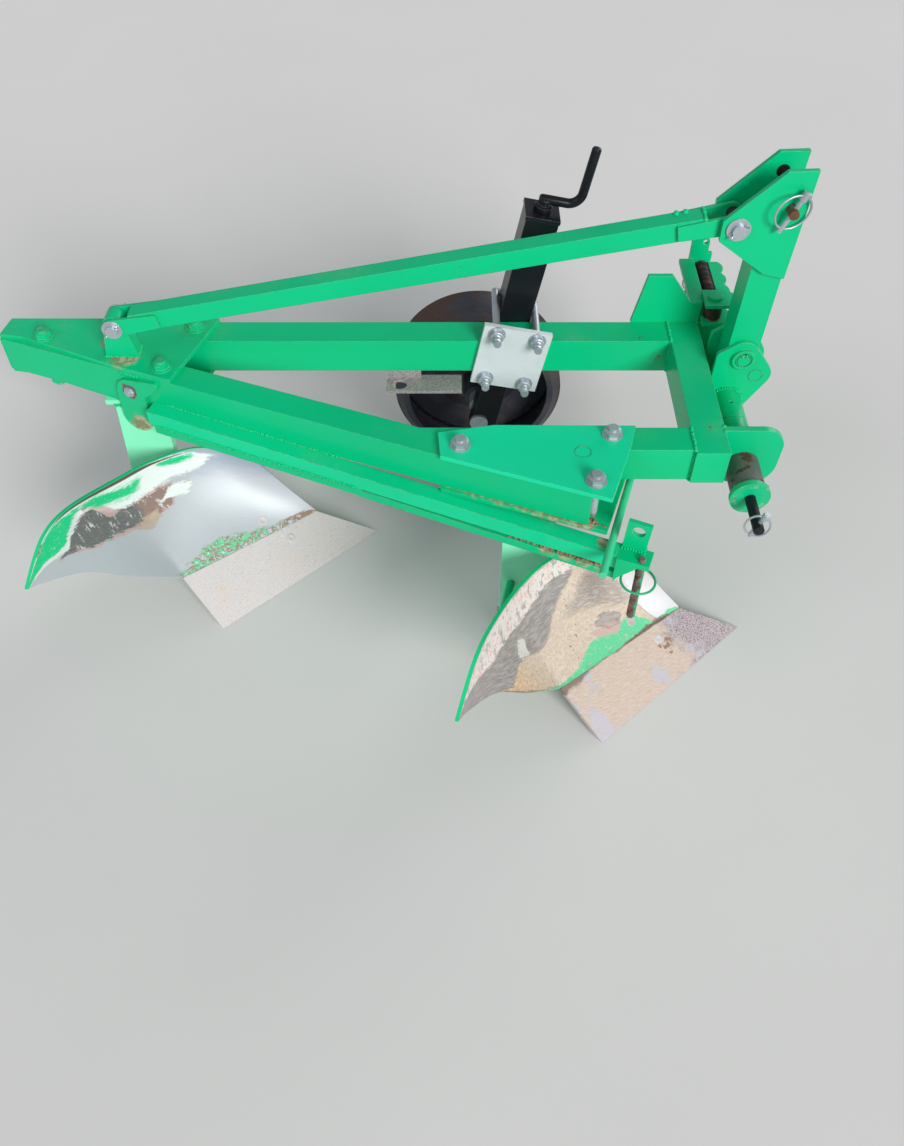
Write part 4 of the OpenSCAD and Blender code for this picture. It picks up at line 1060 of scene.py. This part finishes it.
def nut_growth():
    """A hexagon nut with a chamfer, a washer and a threaded end at each spot."""
    g = Growth("nuts", {"Corner radius": 0.0175, "Height": 0.013, "Washer radius": 0.02,
                        "Stud radius": 0.01, "Stud length": 0.018})
    tall, corner, long = g.read("Height"), g.read("Corner radius"), g.read("Stud length")

    def cylinder(sides, radius, depth):
        return g.node("GeometryNodeMeshCylinder", {"Vertices": sides, "Radius": radius, "Depth": depth})

    cone = {"Vertices": 30, "Radius Bottom": g.sums("MULTIPLY", corner, CHAMFER_WIDE),
            "Radius Top": g.sums("MULTIPLY", corner, CHAMFER_TOP), "Depth": CHAMFER_HEIGHT}
    body = g.lifted(cylinder(6, corner, tall), g.sums("MULTIPLY", tall, 0.5))
    chamfer = g.lifted(g.node("GeometryNodeMeshCone", cone), tall)
    flat = g.lifted(cylinder(36, g.read("Washer radius"), WASHER_HEIGHT), WASHER_HEIGHT / 2)
    end = g.lifted(cylinder(20, g.read("Stud radius"), long), g.sums("MULTIPLY", long, 0.5))
    g.at_spots(g.join(body, chamfer, flat, end))
    return g


def thread_growth():
    """A screw thread: a ridge that winds up the axis of each spot."""
    g = Growth("threads", {"Radius": 0.008, "Length": 0.02, "Pitch": 0.0025})
    radius, length, pitch = g.read("Radius"), g.read("Length"), g.read("Pitch")
    spiral = g.node("GeometryNodeCurveSpiral", {
        "Resolution": 20, "Rotations": g.sums("DIVIDE", length, pitch),
        "Start Radius": radius, "End Radius": radius, "Height": length,
    }).outputs[0]
    small = {"Resolution": 4, "Radius": g.sums("MULTIPLY", pitch, 0.36)}
    ridge = g.node("GeometryNodeCurvePrimitiveCircle", small, mode="RADIUS").outputs[0]
    wound = g.node("GeometryNodeCurveToMesh", {"Curve": spiral, "Profile Curve": ridge, "Fill Caps": True})
    g.at_spots(wound.outputs[0])
    return g


# The mouldboards, each from the same stations as the part's own: from the shin to the wing
# the bottom, middle and top, each x, y, z in millimetres from the cutting point

BOARD = np.array([
    [[-145, 0, 71], [-206, 0, 150], [-275, 0, 243]],
    [[-240, -75, 76], [-318, -22, 170], [-385, -6, 288]],
    [[-335, -150, 82], [-425, -80, 192], [-470, -74, 316]],
    [[-430, -225, 88], [-503, -172, 204], [-535, -170, 345]],
    [[-505, -292, 172], [-562, -268, 272], [-590, -295, 390]],
    [[-580, -346, 250], [-608, -350, 316], [-622, -376, 388]],
    [[-645, -438, 316], [-648, -447, 321], [-652, -456, 326]],
], float)
LAST = len(BOARD) - 1
STRAIGHT = 3
BOARD_THICK = 7


def blended(a, b, c, d, t):
    """A smooth run from b to c that leaves towards a and d."""
    bend = 2 * a - 5 * b + 4 * c - d
    return 0.5 * (2 * b + (c - a) * t + bend * t * t + (3 * b - a - 3 * c + d) * t ** 3)


def board_row(row, u):
    """A point on the bottom, middle or top line; the bottom is straight along the share."""
    i = min(int(math.floor(u)), LAST - 1)
    if row == 0 and i < STRAIGHT:
        return BOARD[0][0] + (BOARD[STRAIGHT][0] - BOARD[0][0]) * u / STRAIGHT
    first = STRAIGHT if row == 0 and i > STRAIGHT - 1 else 0
    before, after = BOARD[max(i - 1, first)][row], BOARD[min(i + 2, LAST)][row]
    return blended(before, BOARD[i][row], BOARD[i + 1][row], after, u - i)


def board_face(u, v):
    """A point on the working face, u from shin to wing and v from share to top edge."""
    low, middle, top = (board_row(row, u) for row in range(3))
    return low * (2 * v - 1) * (v - 1) + middle * 4 * v * (1 - v) + top * v * (2 * v - 1)


def board_back(u, v):
    """The way from the working face to the back, of length one."""
    along = board_face(min(u + 0.01, LAST), v) - board_face(max(u - 0.01, 0), v)
    up = board_face(u, min(v + 0.01, 1)) - board_face(u, max(v - 0.01, 0))
    way = np.cross(along, up)
    return way / np.linalg.norm(way)


class BoardSizes(bpy.types.PropertyGroup):
    along: IntProperty(name="Columns", description="Columns of faces from shin to wing", default=96, min=12)
    up: IntProperty(name="Rows", description="Rows of faces from share to top edge", default=34, min=6)


class PLOUGH_OT_boards(bpy.types.Operator):
    """Makes the two curved mouldboards with their own pattern map"""

    bl_idname = "plough.boards"
    bl_label = "Mouldboards"

    def execute(self, context):
        sizes = settings("plough_boards")
        columns = range(sizes.along + 1)
        grid = [(LAST * i / sizes.along, j / sizes.up) for i in columns for j in range(sizes.up + 1)]
        count = len(grid)
        quads = self.quads(sizes.along, sizes.up, count)
        for name, body in BODIES.items():
            face = [board_face(u, v) for u, v in grid]
            back = [p + board_back(u, v) * BOARD_THICK for p, (u, v) in zip(face, grid)]
            mesh = bpy.data.meshes.new(name + "_board")
            mesh.from_pydata([tuple(at(*(p + body))) for p in face + back], [], quads)
            layer = mesh.uv_layers.new(name="UVMap")
            for loop in mesh.loops:
                u, v = grid[loop.vertex_index % count]
                layer.data[loop.index].uv = (u / LAST, v)
            finish = front_board_steel() if name == "front" else rear_board_steel()
            piece = settle(name + "_board", mesh, finish, angle=45)
            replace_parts(piece, name + "_mouldboard")
        return {"FINISHED"}

    @staticmethod
    def quads(along, up, count):
        """Faces of a closed sheet: its face, its back and the four edges between."""
        column = up + 1
        made = []
        for i in range(along):
            for j in range(up):
                a = i * column + j
                made.append((a, a + 1, a + column + 1, a + column))
                made.append((count + a, count + a + column, count + a + column + 1, count + a + 1))
        for i in range(along):
            for a in (i * column, i * column + up):
                made.append((a, a + column, count + a + column, count + a))
        for j in range(up):
            for a in (j, along * column + j):
                made.append((a, a + 1, count + a + 1, count + a))
        return made


# Fasteners, with places in millimetres

# On the gussets by x and y, on legs and landsides by x and z from the body's cutting point
FRONT_BOLTS = [(16, -297), (318, -266), (274, -396)]
REAR_BOLTS = [(-893, 52), (-566, 83), (-615, -55)]
LEG_BOLTS = [(-538, 84), (-478, 84), (-300, 60), (-400, 60)]
LANDSIDE_BOLTS = [(-538, 70), (-478, 70), (-300, 55), (-400, 55)]
LEG_FACE = -40
THREAD_DROP = 17
EAR_BOLT = (-623, -312.5, 463)

# Plug bolts: along and up the share, and by the board's own u and v
SHARE_BOLT = (202, 98)
BOARD_BOLT = (1.05, 0.14)

# The clamp's bolts, in the frame of the leaning column
LEAN = math.radians(11)
CLAMP_MIDDLE = (130, 467)
CLAMP_FACE = 36
CLAMP_THREAD_OUT = 15
CLAMP_BOLTS = [
    (CLAMP_MIDDLE[0] + x * math.cos(LEAN) + z * math.sin(LEAN),
     CLAMP_MIDDLE[1] - x * math.sin(LEAN) + z * math.cos(LEAN))
    for x in (-45, 45) for z in (-60, 60)
]

# The wheel's nuts: how many, their circle and their face, in metres
HUB_NUTS = 5
HUB_CIRCLE = 0.052
HUB_FACE = 0.0102

SPINDLE_START = (578, 146, 541)
BLOCK_PIN = (366.1, -496)
STUD_START = 232


def nut(corner, height, washer, stud, length):
    """Sizes of a nut, its washer and its threaded end in metres."""
    return {"Corner radius": corner, "Height": height, "Washer radius": washer,
            "Stud radius": stud, "Stud length": length}


def thread(radius, length, pitch):
    """Sizes of a screw thread in metres."""
    return {"Radius": radius, "Length": length, "Pitch": pitch}


class BoltSizes(bpy.types.PropertyGroup):
    frame_corner: FloatProperty(
        name="Frame nut", description="Corner radius of the frame nuts", default=0.0176, unit="LENGTH"
    )
    clamp_corner: FloatProperty(
        name="Clamp nut", description="Corner radius of the clamp nuts", default=0.0155, unit="LENGTH"
    )
    body_corner: FloatProperty(
        name="Body nut", description="Corner radius of the nuts on legs and frogs", default=0.0125,
        unit="LENGTH",
    )
    pitch: FloatProperty(
        name="Pitch", description="Pitch of the screw threads", default=0.0026, unit="LENGTH"
    )


class PLOUGH_OT_bolts(bpy.types.Operator):
    """Puts washers, chamfered nuts and threaded ends on the frame, the clamp, the legs and the hub"""

    bl_idname = "plough.bolts"
    bl_label = "Bolts and nuts"

    def execute(self, context):
        sizes = settings("plough_bolts")
        nuts, threads = nut_growth(), thread_growth()
        zinc, green, dark = FINISHES["zinc"], FINISHES["bolt_green"], FINISHES["rusty"]

        front, rear = ([at(x, y, GUSSET_TOP) for x, y in bolts] for bolts in (FRONT_BOLTS, REAR_BOLTS))
        heights = (GUSSET_UNDER, GUSSET_UNDER - THREAD_DROP)
        under, ends = ([at(x, y, z) for x, y in FRONT_BOLTS + REAR_BOLTS] for z in heights)
        grow("front_bolt_nuts", spots(front, UP), nuts,
             nut(sizes.frame_corner, 0.0135, 0.0205, 0.0102, 0.0215), zinc)
        grow("rear_bolt_nuts", spots(rear, UP, 1.02), nuts,
             nut(sizes.frame_corner, 0.0125, 0.022, 0.0102, 0.0195), green)
        grow("under_frame_nuts", spots(under, DOWN), nuts,
             nut(sizes.frame_corner, 0.0165, 0.0205, 0.0102, 0.026), green)
        grow("under_frame_threads", spots(ends, DOWN), threads,
             thread(0.0101, 0.0088, sizes.pitch), zinc)

        faces = (CLAMP_FACE, CLAMP_FACE - CLAMP_THREAD_OUT)
        clamp, ends = ([at(x, y, z) for x, z in CLAMP_BOLTS] for y in faces)
        grow("clamp_nuts", spots(clamp, RIGHT), nuts,
             nut(sizes.clamp_corner, 0.0145, 0.019, 0.0081, 0.0375), zinc)
        grow("clamp_threads", spots(ends, RIGHT), threads, thread(0.0082, 0.022, 0.0022), zinc)

        small = nut(sizes.body_corner, 0.011, 0.015, 0.007, 0.019)
        legs = [at(x0 + x, y0 + LEG_FACE, z) for x0, y0, z0 in BODIES.values() for x, z in LEG_BOLTS]
        grow("body_nuts", spots(legs, RIGHT), nuts, small, dark)
        aside = diagonal(0, -1, 0) - diagonal(0, 0, 0)
        grow("ear_nut", spots([diagonal(*EAR_BOLT)], aside, 0.82), nuts,
             nut(sizes.body_corner, 0.008, 0.015, 0.007, 0.011), zinc)
        self.heads()

        low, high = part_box("depth_wheel")
        middle = (low + high) / 2
        hub = []
        for k in range(HUB_NUTS):
            angle = 2 * math.pi * (k + 0.25) / HUB_NUTS
            out = Vector((HUB_CIRCLE * math.sin(angle), HUB_FACE, HUB_CIRCLE * math.cos(angle)))
            hub.append(middle + out)
        grow("hub_nuts", spots(hub, LEFT, 0.8), nuts, small, dark, body="depth_wheel_body")
        grow("spindle_thread", spots([at(*SPINDLE_START)], LEFT), threads,
             thread(0.0131, 0.143, 0.005), FINISHES["spindle"])
        grow("stud_thread", spots([at(*BLOCK_PIN, STUD_START)], UP), threads,
             thread(0.0078, 0.155, 0.003), FINISHES["block_rod"])
        return {"FINISHED"}

    @staticmethod
    def heads():
        """The flat heads on landsides, shares and boards."""
        sides = Shape()
        for x0, y0, z0 in BODIES.values():
            for x, z in LANDSIDE_BOLTS:
                profile = [(12.5, 0), (12.5, 0.5), (11.5, 1.1), (4, 1.2), (3.2, 0.4)]
                sides.turned(profile, at(x0 + x, y0, z), LEFT, 28)
        sides.piece("landside_bolt_heads", FINISHES["plug"], "share_steel")
        plugs = Shape()
        out = np.cross(SHARE_SLOPE, SHARE_ALONG)
        way = -board_back(*BOARD_BOLT)
        for body in BODIES.values():
            profile = [(11, -1), (11, 0.3), (10.2, 0.8), (4, 0.9), (3, 0.3)]
            plugs.turned(profile, on_share(body, *SHARE_BOLT), out, 30)
            profile = [(11.5, -2), (11.5, 0.2), (10.8, 0.8), (4, 0.9), (3, 0.2)]
            plugs.turned(profile, at(*(body + board_face(*BOARD_BOLT))), way, 30)
        plugs.piece("plug_bolts", FINISHES["plug"], "worn_steel")


# Pins, rings and washers, with places in millimetres

# The lower linch pins: name, side and tilt in degrees, and their distance from the hitch centre
LINCH_PINS = [("linch_pin_right", -1, 20), ("linch_pin_left", 1, 0)]
LINCH_PIN_OUT = 417.5

# The stay's pins: x and z of the axis, how far out the washers sit and their radius
STAY_PINS = [(540, 832, 42, 23), (-706, 594, 28, 21)]
SPLIT_TURN = 0.7
STAY_NUBS = [(431, 14, 831.2), (448, 14, 834.4)]
STAY_UP = (-0.19, 0, 0.98)

# The adjuster's pin in its bracket and the collar under its arm, a ring on the front gusset,
# a painted mark and a pin's hole on the right foot cheek, and the ring of the pin through the front block
BRACKET_PIN = (578, 123, 568)
ARM_COLLAR = (578, 112, 522)
GUSSET_RING = (256, -315, GUSSET_TOP)
CHEEK_MARK = (652, -42, 486)
CHEEK_HOLE = (616, -46.4, 530)
BLOCK_RING = (0.034, 0.342)


class PinSizes(bpy.types.PropertyGroup):
    ring: FloatProperty(
        name="Linch ring", description="Radius of the rings of the lower linch pins", default=0.024,
        unit="LENGTH",
    )
    split: FloatProperty(
        name="Split pin wire", description="Radius of the wire of the split pins", default=0.0019,
        unit="LENGTH",
    )


def leaning(angle):
    """A way of length one in the side view, by its angle in degrees from straight ahead."""
    return Vector((math.cos(math.radians(angle)), 0, math.sin(math.radians(angle))))


def split_pin(shape, place, along, out, length, wire):
    """A split pin through a bore: an eye on one side and two bent legs on the other."""
    along, out = Vector(along).normalized(), Vector(out).normalized()
    half = length / 2 * MM
    eye = arc(place - along * (half + 0.005), along * 0.0045, out * 0.0045, -160, 160, 14)
    shape.tube(eye, wire / MM, 8)
    for side in (-1, 1):
        leg = [place - along * half, place + along * half]
        leg.append(place + along * (half + 0.004) + out * side * 0.003)
        leg.append(place + along * (half + 0.009) + out * side * 0.011)
        shape.tube(leg, wire / MM * 0.8, 8)


class PLOUGH_OT_pins(bpy.types.Operator):
    """Makes the linch pins of the lower links, the washers and the split pins"""

    bl_idname = "plough.pins"
    bl_label = "Pins and washers"

    def execute(self, context):
        sizes = settings("plough_pins")
        for name, side, tilt in LINCH_PINS:
            self.linch_pin(name, side, tilt, sizes.ring)
        self.stay_washers(sizes.split)
        self.painted_ends()
        shape = Shape()
        shape.ring(9.0, 14.0, 0.02, 1.4, at(*ARM_COLLAR), UP)
        shape.piece("lower_arm_collar", FINISHES["rusty"], "rusty_steel")
        self.circlip()
        self.block_rod()
        return {"FINISHED"}

    @staticmethod
    def linch_pin(name, side, tilt, ring):
        shape = Shape()
        middle = at(SHAFT_AHEAD, side * LINCH_PIN_OUT, SHAFT_HEIGHT)
        shank, flat = leaning(90 - tilt), leaning(-tilt)
        shape.turned([(3.4, -30), (4.9, -26), (4.9, 20), (7.6, 21), (7.6, 33), (6.4, 35)], middle, shank, 20)
        lean = (flat * 0.97 + Vector((0, side, 0)) * 0.24).normalized()
        shape.tube(arc(middle, shank * (ring + 0.003), lean * ring, 8, 352, 40), 2.3, 8)
        shape.piece(name, FINISHES["zinc"], "zinc")

    @staticmethod
    def stay_washers(wire):
        shape = Shape()
        along = (math.cos(SPLIT_TURN), 0, math.sin(SPLIT_TURN))
        for x, z, edge, wide in STAY_PINS:
            for side in (-1, 1):
                place = at(x, side * edge, z)
                out = (0, side, 0)
                shape.ring(12.2, wide, 0.05, 3.6, place, out)
                shape.turned([(12.4, 3.6), (12.4, 10.6), (11.2, 12.1), (5.0, 12.3)], place, out, 32)
                split_pin(shape, at(x, side * (edge + 7.5), z), along, out, 25, wire)
        shape.piece("stay_washers", FINISHES["zinc"], "zinc")

    @staticmethod
    def painted_ends():
        shape = Shape()
        shape.ring(11.3, 16, 0.05, 1.6, at(*BRACKET_PIN), UP)
        shape.turned([(10.6, 0), (10.6, 1.6), (9.8, 2.2)], at(*BRACKET_PIN), UP, 28)
        shape.ring(15.2, 17, 0.02, 0.9, at(*GUSSET_RING), UP)
        shape.ring(14.0, 15.6, 0.02, 0.9, at(*CHEEK_MARK), RIGHT)
        for nub in STAY_NUBS:
            shape.turned([(6.5, -1), (6.2, 2), (4.6, 5), (2.0, 6.6)], at(*nub), STAY_UP, 14)
        shape.piece("painted_pin_ends", FINISHES["bolt_green"], "green_paint")

    @staticmethod
    def circlip():
        """An open ring in the cheek's hole, with its two ears bent out."""
        shape = Shape()
        hole = at(*CHEEK_HOLE)
        wide, ear = 0.0155, 22
        shape.tube(arc(hole, (wide, 0, 0), (0, 0, wide), 90 + ear, 450 - ear, 30), 1.7, 8)
        for turn in (90 - ear, 90 + ear):
            away = leaning(turn)
            path = [hole + away * wide]
            path.append(hole + away * 0.0125 + Vector((0, -0.0036, 0)))
            path.append(hole + away * 0.009 + Vector((0, -0.0042, 0)))
            shape.tube(path, 1.9, 8)
        shape.piece("foot_circlip", FINISHES["bolt_green"], "green_paint")

    @staticmethod
    def block_rod():
        shape = Shape()
        foot = at(*BLOCK_PIN, 0)
        reach, height = BLOCK_RING
        ring = foot + Vector((0, 0, height))
        shape.turned([(5.0, 228), (7.7, 230), (7.7, 408), (6.2, 410)], foot, UP, 28)
        shape.tube([ring, foot + Vector((0, reach, height))], 3.2, 10)
        shape.tube(arc(ring, (reach, 0, 0), (0, reach, 0), 0, 351, 39), 2.6, 10, closed=True)
        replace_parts(shape.piece("block_rod", FINISHES["block_rod"], "dark_steel"), "block_pin")


# The crank over the clamp, in metres: height of its cap, its stem, how far it reaches and its grip
CRANK_CAP = 0.298
CRANK_STEM = 0.024
CRANK_REACH = 0.072
CRANK_GRIP = 0.125


class CrankSizes(bpy.types.PropertyGroup):
    bar: FloatProperty(name="Crank bar", description="Radius of the bent bar", default=0.0098, unit="LENGTH")
    bend: FloatProperty(
        name="Crank bend", description="Inner bend of the bar, to its middle", default=0.027, unit="LENGTH"
    )


class PLOUGH_OT_crank(bpy.types.Operator):
    """Makes the bent crank of the depth screw and its collar"""

    bl_idname = "plough.crank"
    bl_label = "Crank"

    def execute(self, context):
        sizes = settings("plough_crank")
        low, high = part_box("crank")
        ahead = Vector((math.cos(LEAN), 0, -math.sin(LEAN)))
        up = Vector((math.sin(LEAN), 0, math.cos(LEAN)))
        foot = at(CLAMP_MIDDLE[0], 0, CLAMP_MIDDLE[1])
        foot.y = (low.y + high.y) / 2
        cap = foot + up * CRANK_CAP
        arm = cap + up * CRANK_STEM
        end = arm + ahead * CRANK_REACH
        bend = sizes.bend
        middle = arm + ahead * (CRANK_REACH - bend) + up * bend
        path = [arm - ahead * back for back in (0.013, 0.011, 0.006)]
        path += arc(middle, ahead * bend, up * bend, -90, 0, 12)
        path += [end + up * (CRANK_GRIP - short) for short in (0.004, 0.001, 0)]
        bar = sizes.bar / MM
        radii = [bar * 0.6, bar * 0.88] + [bar] * (len(path) - 4) + [bar * 0.85, bar * 0.6]
        shape = Shape()
        shape.turned([(17, 0), (19, 1.5), (19, 10), (16.5, 12.5), (13, 13.5), (12, 24)], cap, up, 32)
        shape.tube(path, radii, 24)
        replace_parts(shape.piece("crank_handle", FINISHES["black_paint"], "dark_steel"), "crank")
        return {"FINISHED"}


# Welds and soil, with places in millimetres

# Straight beads on headstock, beams and stay, then those along the diagonal
FRAME_BEADS = [
    [(481, -20, 840), (481, 20, 840)], [(481, -21, 803), (481, -21, 838)],
    [(549, -243, 430), (549, -243, 507)], [(549, -229, 430), (549, -229, 507)],
    [(549, 120, 430), (549, 120, 507)], [(549, 134, 430), (549, 134, 507)],
    [(481, -299, 507), (481, -233, 507)], [(481, -299, 427), (481, -299, 507)],
    [(481, 48, 507), (481, 118, 507)], [(481, 48, 428), (481, 48, 507)],
    [(-740, -18, 517), (-672, -18, 517)], [(-740, 18, 517), (-672, 18, 517)],
    [(-672, -18, 517), (-672, 18, 517)], [(-740, -18, 517), (-740, 18, 517)],
    [(481, 118, 507), (481, 128, 507)], [(549, 128, 511), (549, 170, 511)],
    [(612, 42.5, 514), (638, 42.5, 514)], [(612, 42.5, 568), (638, 42.5, 568)],
]
DIAGONAL_BEADS = [
    [(s, -302.5, rail_height(s) + 0.5) for s in np.linspace(-540, -140, 9)],
    [(s, -302.5, 403) for s in (474, 519)],
    [(s, -312.5, 402.5) for s in (474, 519)],
    [(-640, -302.5, 502), (-600, -302.5, 502)],
    [(s, -338, rail_height(s) - 35) for s in np.linspace(-555, -85, 8)],
]

# Round beads on the cross shaft by y and radius, those on each leg from its body's cutting point,
# and the wheel's by y, radius and steps round its centre
SHAFT_BEADS = [
    (-243, 30.5), (-229, 30.5), (120, 30.5), (134, 30.5), (-330.5, 36.5), (330.5, 36.5),
    (-42.5, 36), (32, 30.5), (42, 30.5),
]
LEG_BEADS = [
    [(-556, 7, 404), (-452, 7, 404)], [(-556, 35, 404), (-452, 35, 404)],
    [(-558, 8, 404), (-558, 34, 404)], [(-450, 8, 404), (-450, 34, 404)],
    [(-450, LEG_FACE, z) for z in range(28, 245, 8)],
]
WHEEL_BEADS = [(306, 36, 40), (322, 36, 40), (307, 189, 120)]
WHEEL_CENTRE = (66.4, 210)


def strip_height(s):
    """Height of the soil on the lower strip."""
    return 381 - (s + 72) * 0.0497


SOIL_LINES = [
    [diagonal(s, -294, 427) for s in np.linspace(110, 430, 16)],
    [diagonal(s, -324, strip_height(s)) for s in np.linspace(270, 452, 12)],
    [diagonal(s, -330, strip_height(s)) for s in np.linspace(250, 452, 12)],
    [at(-672 + 8 * k, -60 - 1.5 * k, 408) for k in range(6)],
]


class WeldSizes(bpy.types.PropertyGroup):
    spacing: FloatProperty(
        name="Ripple", description="Distance between the ripples of a weld", default=0.0052, unit="LENGTH"
    )
    radius: FloatProperty(
        name="Bead", description="Half the width of a weld bead", default=0.0044, unit="LENGTH"
    )
    seed: IntProperty(name="Seed", description="Changes how uneven the beads are", default=7)


def circle_path(x, y, z, radius, steps=40):
    """Points of a circle round an axis that runs left."""
    first, second = (Vector(way) * radius * MM for way in ((1, 0, 0), (0, 0, 1)))
    return arc(at(x, y, z), first, second, 0, 360, steps)


class PLOUGH_OT_welds(bpy.types.Operator):
    """Lays weld beads where the beams, plates and lugs join"""

    bl_idname = "plough.welds"
    bl_label = "Welds"

    def execute(self, context):
        sizes = settings("plough_welds")
        beads = bead_growth()
        paths = [[at(*place) for place in path] for path in FRAME_BEADS]
        paths += [[diagonal(*place) for place in path] for path in DIAGONAL_BEADS]
        paths += [circle_path(SHAFT_AHEAD, y, SHAFT_HEIGHT, radius) for y, radius in SHAFT_BEADS]
        paths += [[at(*(body + place)) for place in path] for body in BODIES.values() for path in LEG_BEADS]
        base = {"Spacing": sizes.spacing, "Radius": sizes.radius, "Flatness": 0.62, "Unevenness": 0.16,
                "Seed": sizes.seed}
        grow("weld_beads", lines(paths), beads, base, FINISHES["green"], angle=60)
        ahead, height = WHEEL_CENTRE
        wheel = [circle_path(ahead, y, height, radius, steps) for y, radius, steps in WHEEL_BEADS]
        grow("wheel_welds", lines(wheel), beads, base, FINISHES["black_paint"],
             body="depth_wheel_body", angle=60)
        crumbs = {"Spacing": 0.0055, "Radius": 0.0042, "Flatness": 0.8, "Unevenness": 0.75,
                  "Seed": sizes.seed + 4}
        grow("soil_crumbs", lines(SOIL_LINES), beads, crumbs, FINISHES["soil"], angle=80)
        return {"FINISHED"}


# Stage, in metres and degrees

FLOOR_REACH = 12.0
FLOOR_HEIGHT = -0.0006
SENSOR = 36

# The lens in pixels, and the long side of the picture
FOCAL_LENGTH = 1000
LONG_SIDE = 1146

# Lamps: name, the way to it, width of its soft disc, share of the key's strength and colour
LAMPS = [
    ("key", (1.9, -3.6, 1.95), 24, 1.0, (1.0, 0.98, 0.95)),
    ("fill", (-2.8, -1.6, 2.3), 38, 0.17, (0.96, 0.98, 1.0)),
    ("back", (2.5, 2.9, 1.5), 30, 0.22, (1.0, 1.0, 1.0)),
]


class StageSizes(bpy.types.PropertyGroup):
    camera_height: FloatProperty(
        name="Camera height", description="Lens above the ground", default=1.86, unit="LENGTH"
    )
    camera_back: FloatProperty(
        name="Camera distance", description="Lens to the right of the hitch centre", default=1.75,
        unit="LENGTH",
    )
    camera_pitch: FloatProperty(
        name="Camera pitch", description="Lens axis below the horizon", default=math.radians(50),
        subtype="ANGLE",
    )
    lens: FloatProperty(
        name="Lens", description="Focal length in millimetres on a 36 mm long side",
        default=SENSOR * FOCAL_LENGTH / LONG_SIDE,
    )
    key: FloatProperty(name="Key light", description="Strength of the soft key light", default=2.8, min=0)


class PLOUGH_OT_stage(bpy.types.Operator):
    """Makes the pale floor, the soft lights and the camera"""

    bl_idname = "plough.stage"
    bl_label = "Stage"

    def execute(self, context):
        sizes = settings("plough_stage")
        low, high = CAD_BOX
        middle = (low + high) / 2
        floor_mesh = bpy.data.meshes.new("floor")
        corners = [
            (middle.x + a * FLOOR_REACH, middle.y + b * FLOOR_REACH, FLOOR_HEIGHT)
            for a, b in ((-1, -1), (1, -1), (1, 1), (-1, 1))
        ]
        floor_mesh.from_pydata(corners, [], [(0, 1, 2, 3)])
        floor = bpy.data.objects.new("floor", floor_mesh)
        bpy.context.collection.objects.link(floor)
        f = Finish("floor")
        pale = f.mix(f.noise(1.5), (0.7, 0.7, 0.69), (0.74, 0.74, 0.73))
        floor_mesh.materials.append(f.finish(pale, 0.0, 0.9))
        world = bpy.data.worlds.new("studio")
        bpy.context.scene.world = world
        world.use_nodes = True
        sky = world.node_tree.nodes["Background"].inputs
        sky["Color"].default_value = (0.92, 0.95, 1.0, 1)
        sky["Strength"].default_value = 0.33
        for name, place, wide, share, colour in LAMPS:
            data = bpy.data.lights.new(name, "SUN")
            data.angle = math.radians(wide)
            data.energy = sizes.key * share
            data.color = colour
            lamp = bpy.data.objects.new(name, data)
            lamp.location = middle + Vector(place)
            lamp.rotation_euler = Vector(place).to_track_quat("Z", "Y").to_euler()
            bpy.context.collection.objects.link(lamp)
        data = bpy.data.cameras.new("camera")
        data.lens = sizes.lens
        data.sensor_width = SENSOR
        data.clip_end = 60.0
        camera = bpy.data.objects.new("camera", data)
        camera.location = (at(0, 0, 0).x, SHAFT.y - sizes.camera_back, sizes.camera_height)
        camera.rotation_euler = (math.pi / 2 - sizes.camera_pitch, 0, 0)
        bpy.context.collection.objects.link(camera)
        bpy.context.scene.camera = camera
        bpy.context.scene.view_settings.view_transform = "Standard"
        return {"FINISHED"}


SETTINGS = {
    "plough_stage": StageSizes,
    "plough_paint": PaintSizes,
    "plough_boards": BoardSizes,
    "plough_bolts": BoltSizes,
    "plough_pins": PinSizes,
    "plough_crank": CrankSizes,
    "plough_welds": WeldSizes,
}
OPERATORS = [
    PLOUGH_OT_stage, PLOUGH_OT_finishes, PLOUGH_OT_boards, PLOUGH_OT_bolts, PLOUGH_OT_pins, PLOUGH_OT_crank,
    PLOUGH_OT_welds,
]


class PLOUGH_PT_panel(bpy.types.Panel):
    """Lists the plough's pieces in the sidebar"""

    bl_idname = "PLOUGH_PT_panel"
    bl_label = "Plough"
    bl_space_type = "VIEW_3D"
    bl_region_type = "UI"
    bl_category = "Plough"

    def draw(self, context):
        for name, group in SETTINGS.items():
            box = self.layout.box()
            for key in group.__annotations__:
                box.prop(getattr(context.scene, name), key)
        for operator in OPERATORS:
            self.layout.operator(operator.bl_idname)


def register():
    for item in [*SETTINGS.values(), *OPERATORS, PLOUGH_PT_panel]:
        bpy.utils.register_class(item)
    for name, group in SETTINGS.items():
        setattr(bpy.types.Scene, name, PointerProperty(type=group))


def unregister():
    for name in SETTINGS:
        delattr(bpy.types.Scene, name)
    for item in reversed([*SETTINGS.values(), *OPERATORS, PLOUGH_PT_panel]):
        bpy.utils.unregister_class(item)


def main():
    register()
    for operator in OPERATORS:
        area, name = operator.bl_idname.split(".")
        getattr(getattr(bpy.ops, area), name)()


if __name__ == "__main__":
    main()
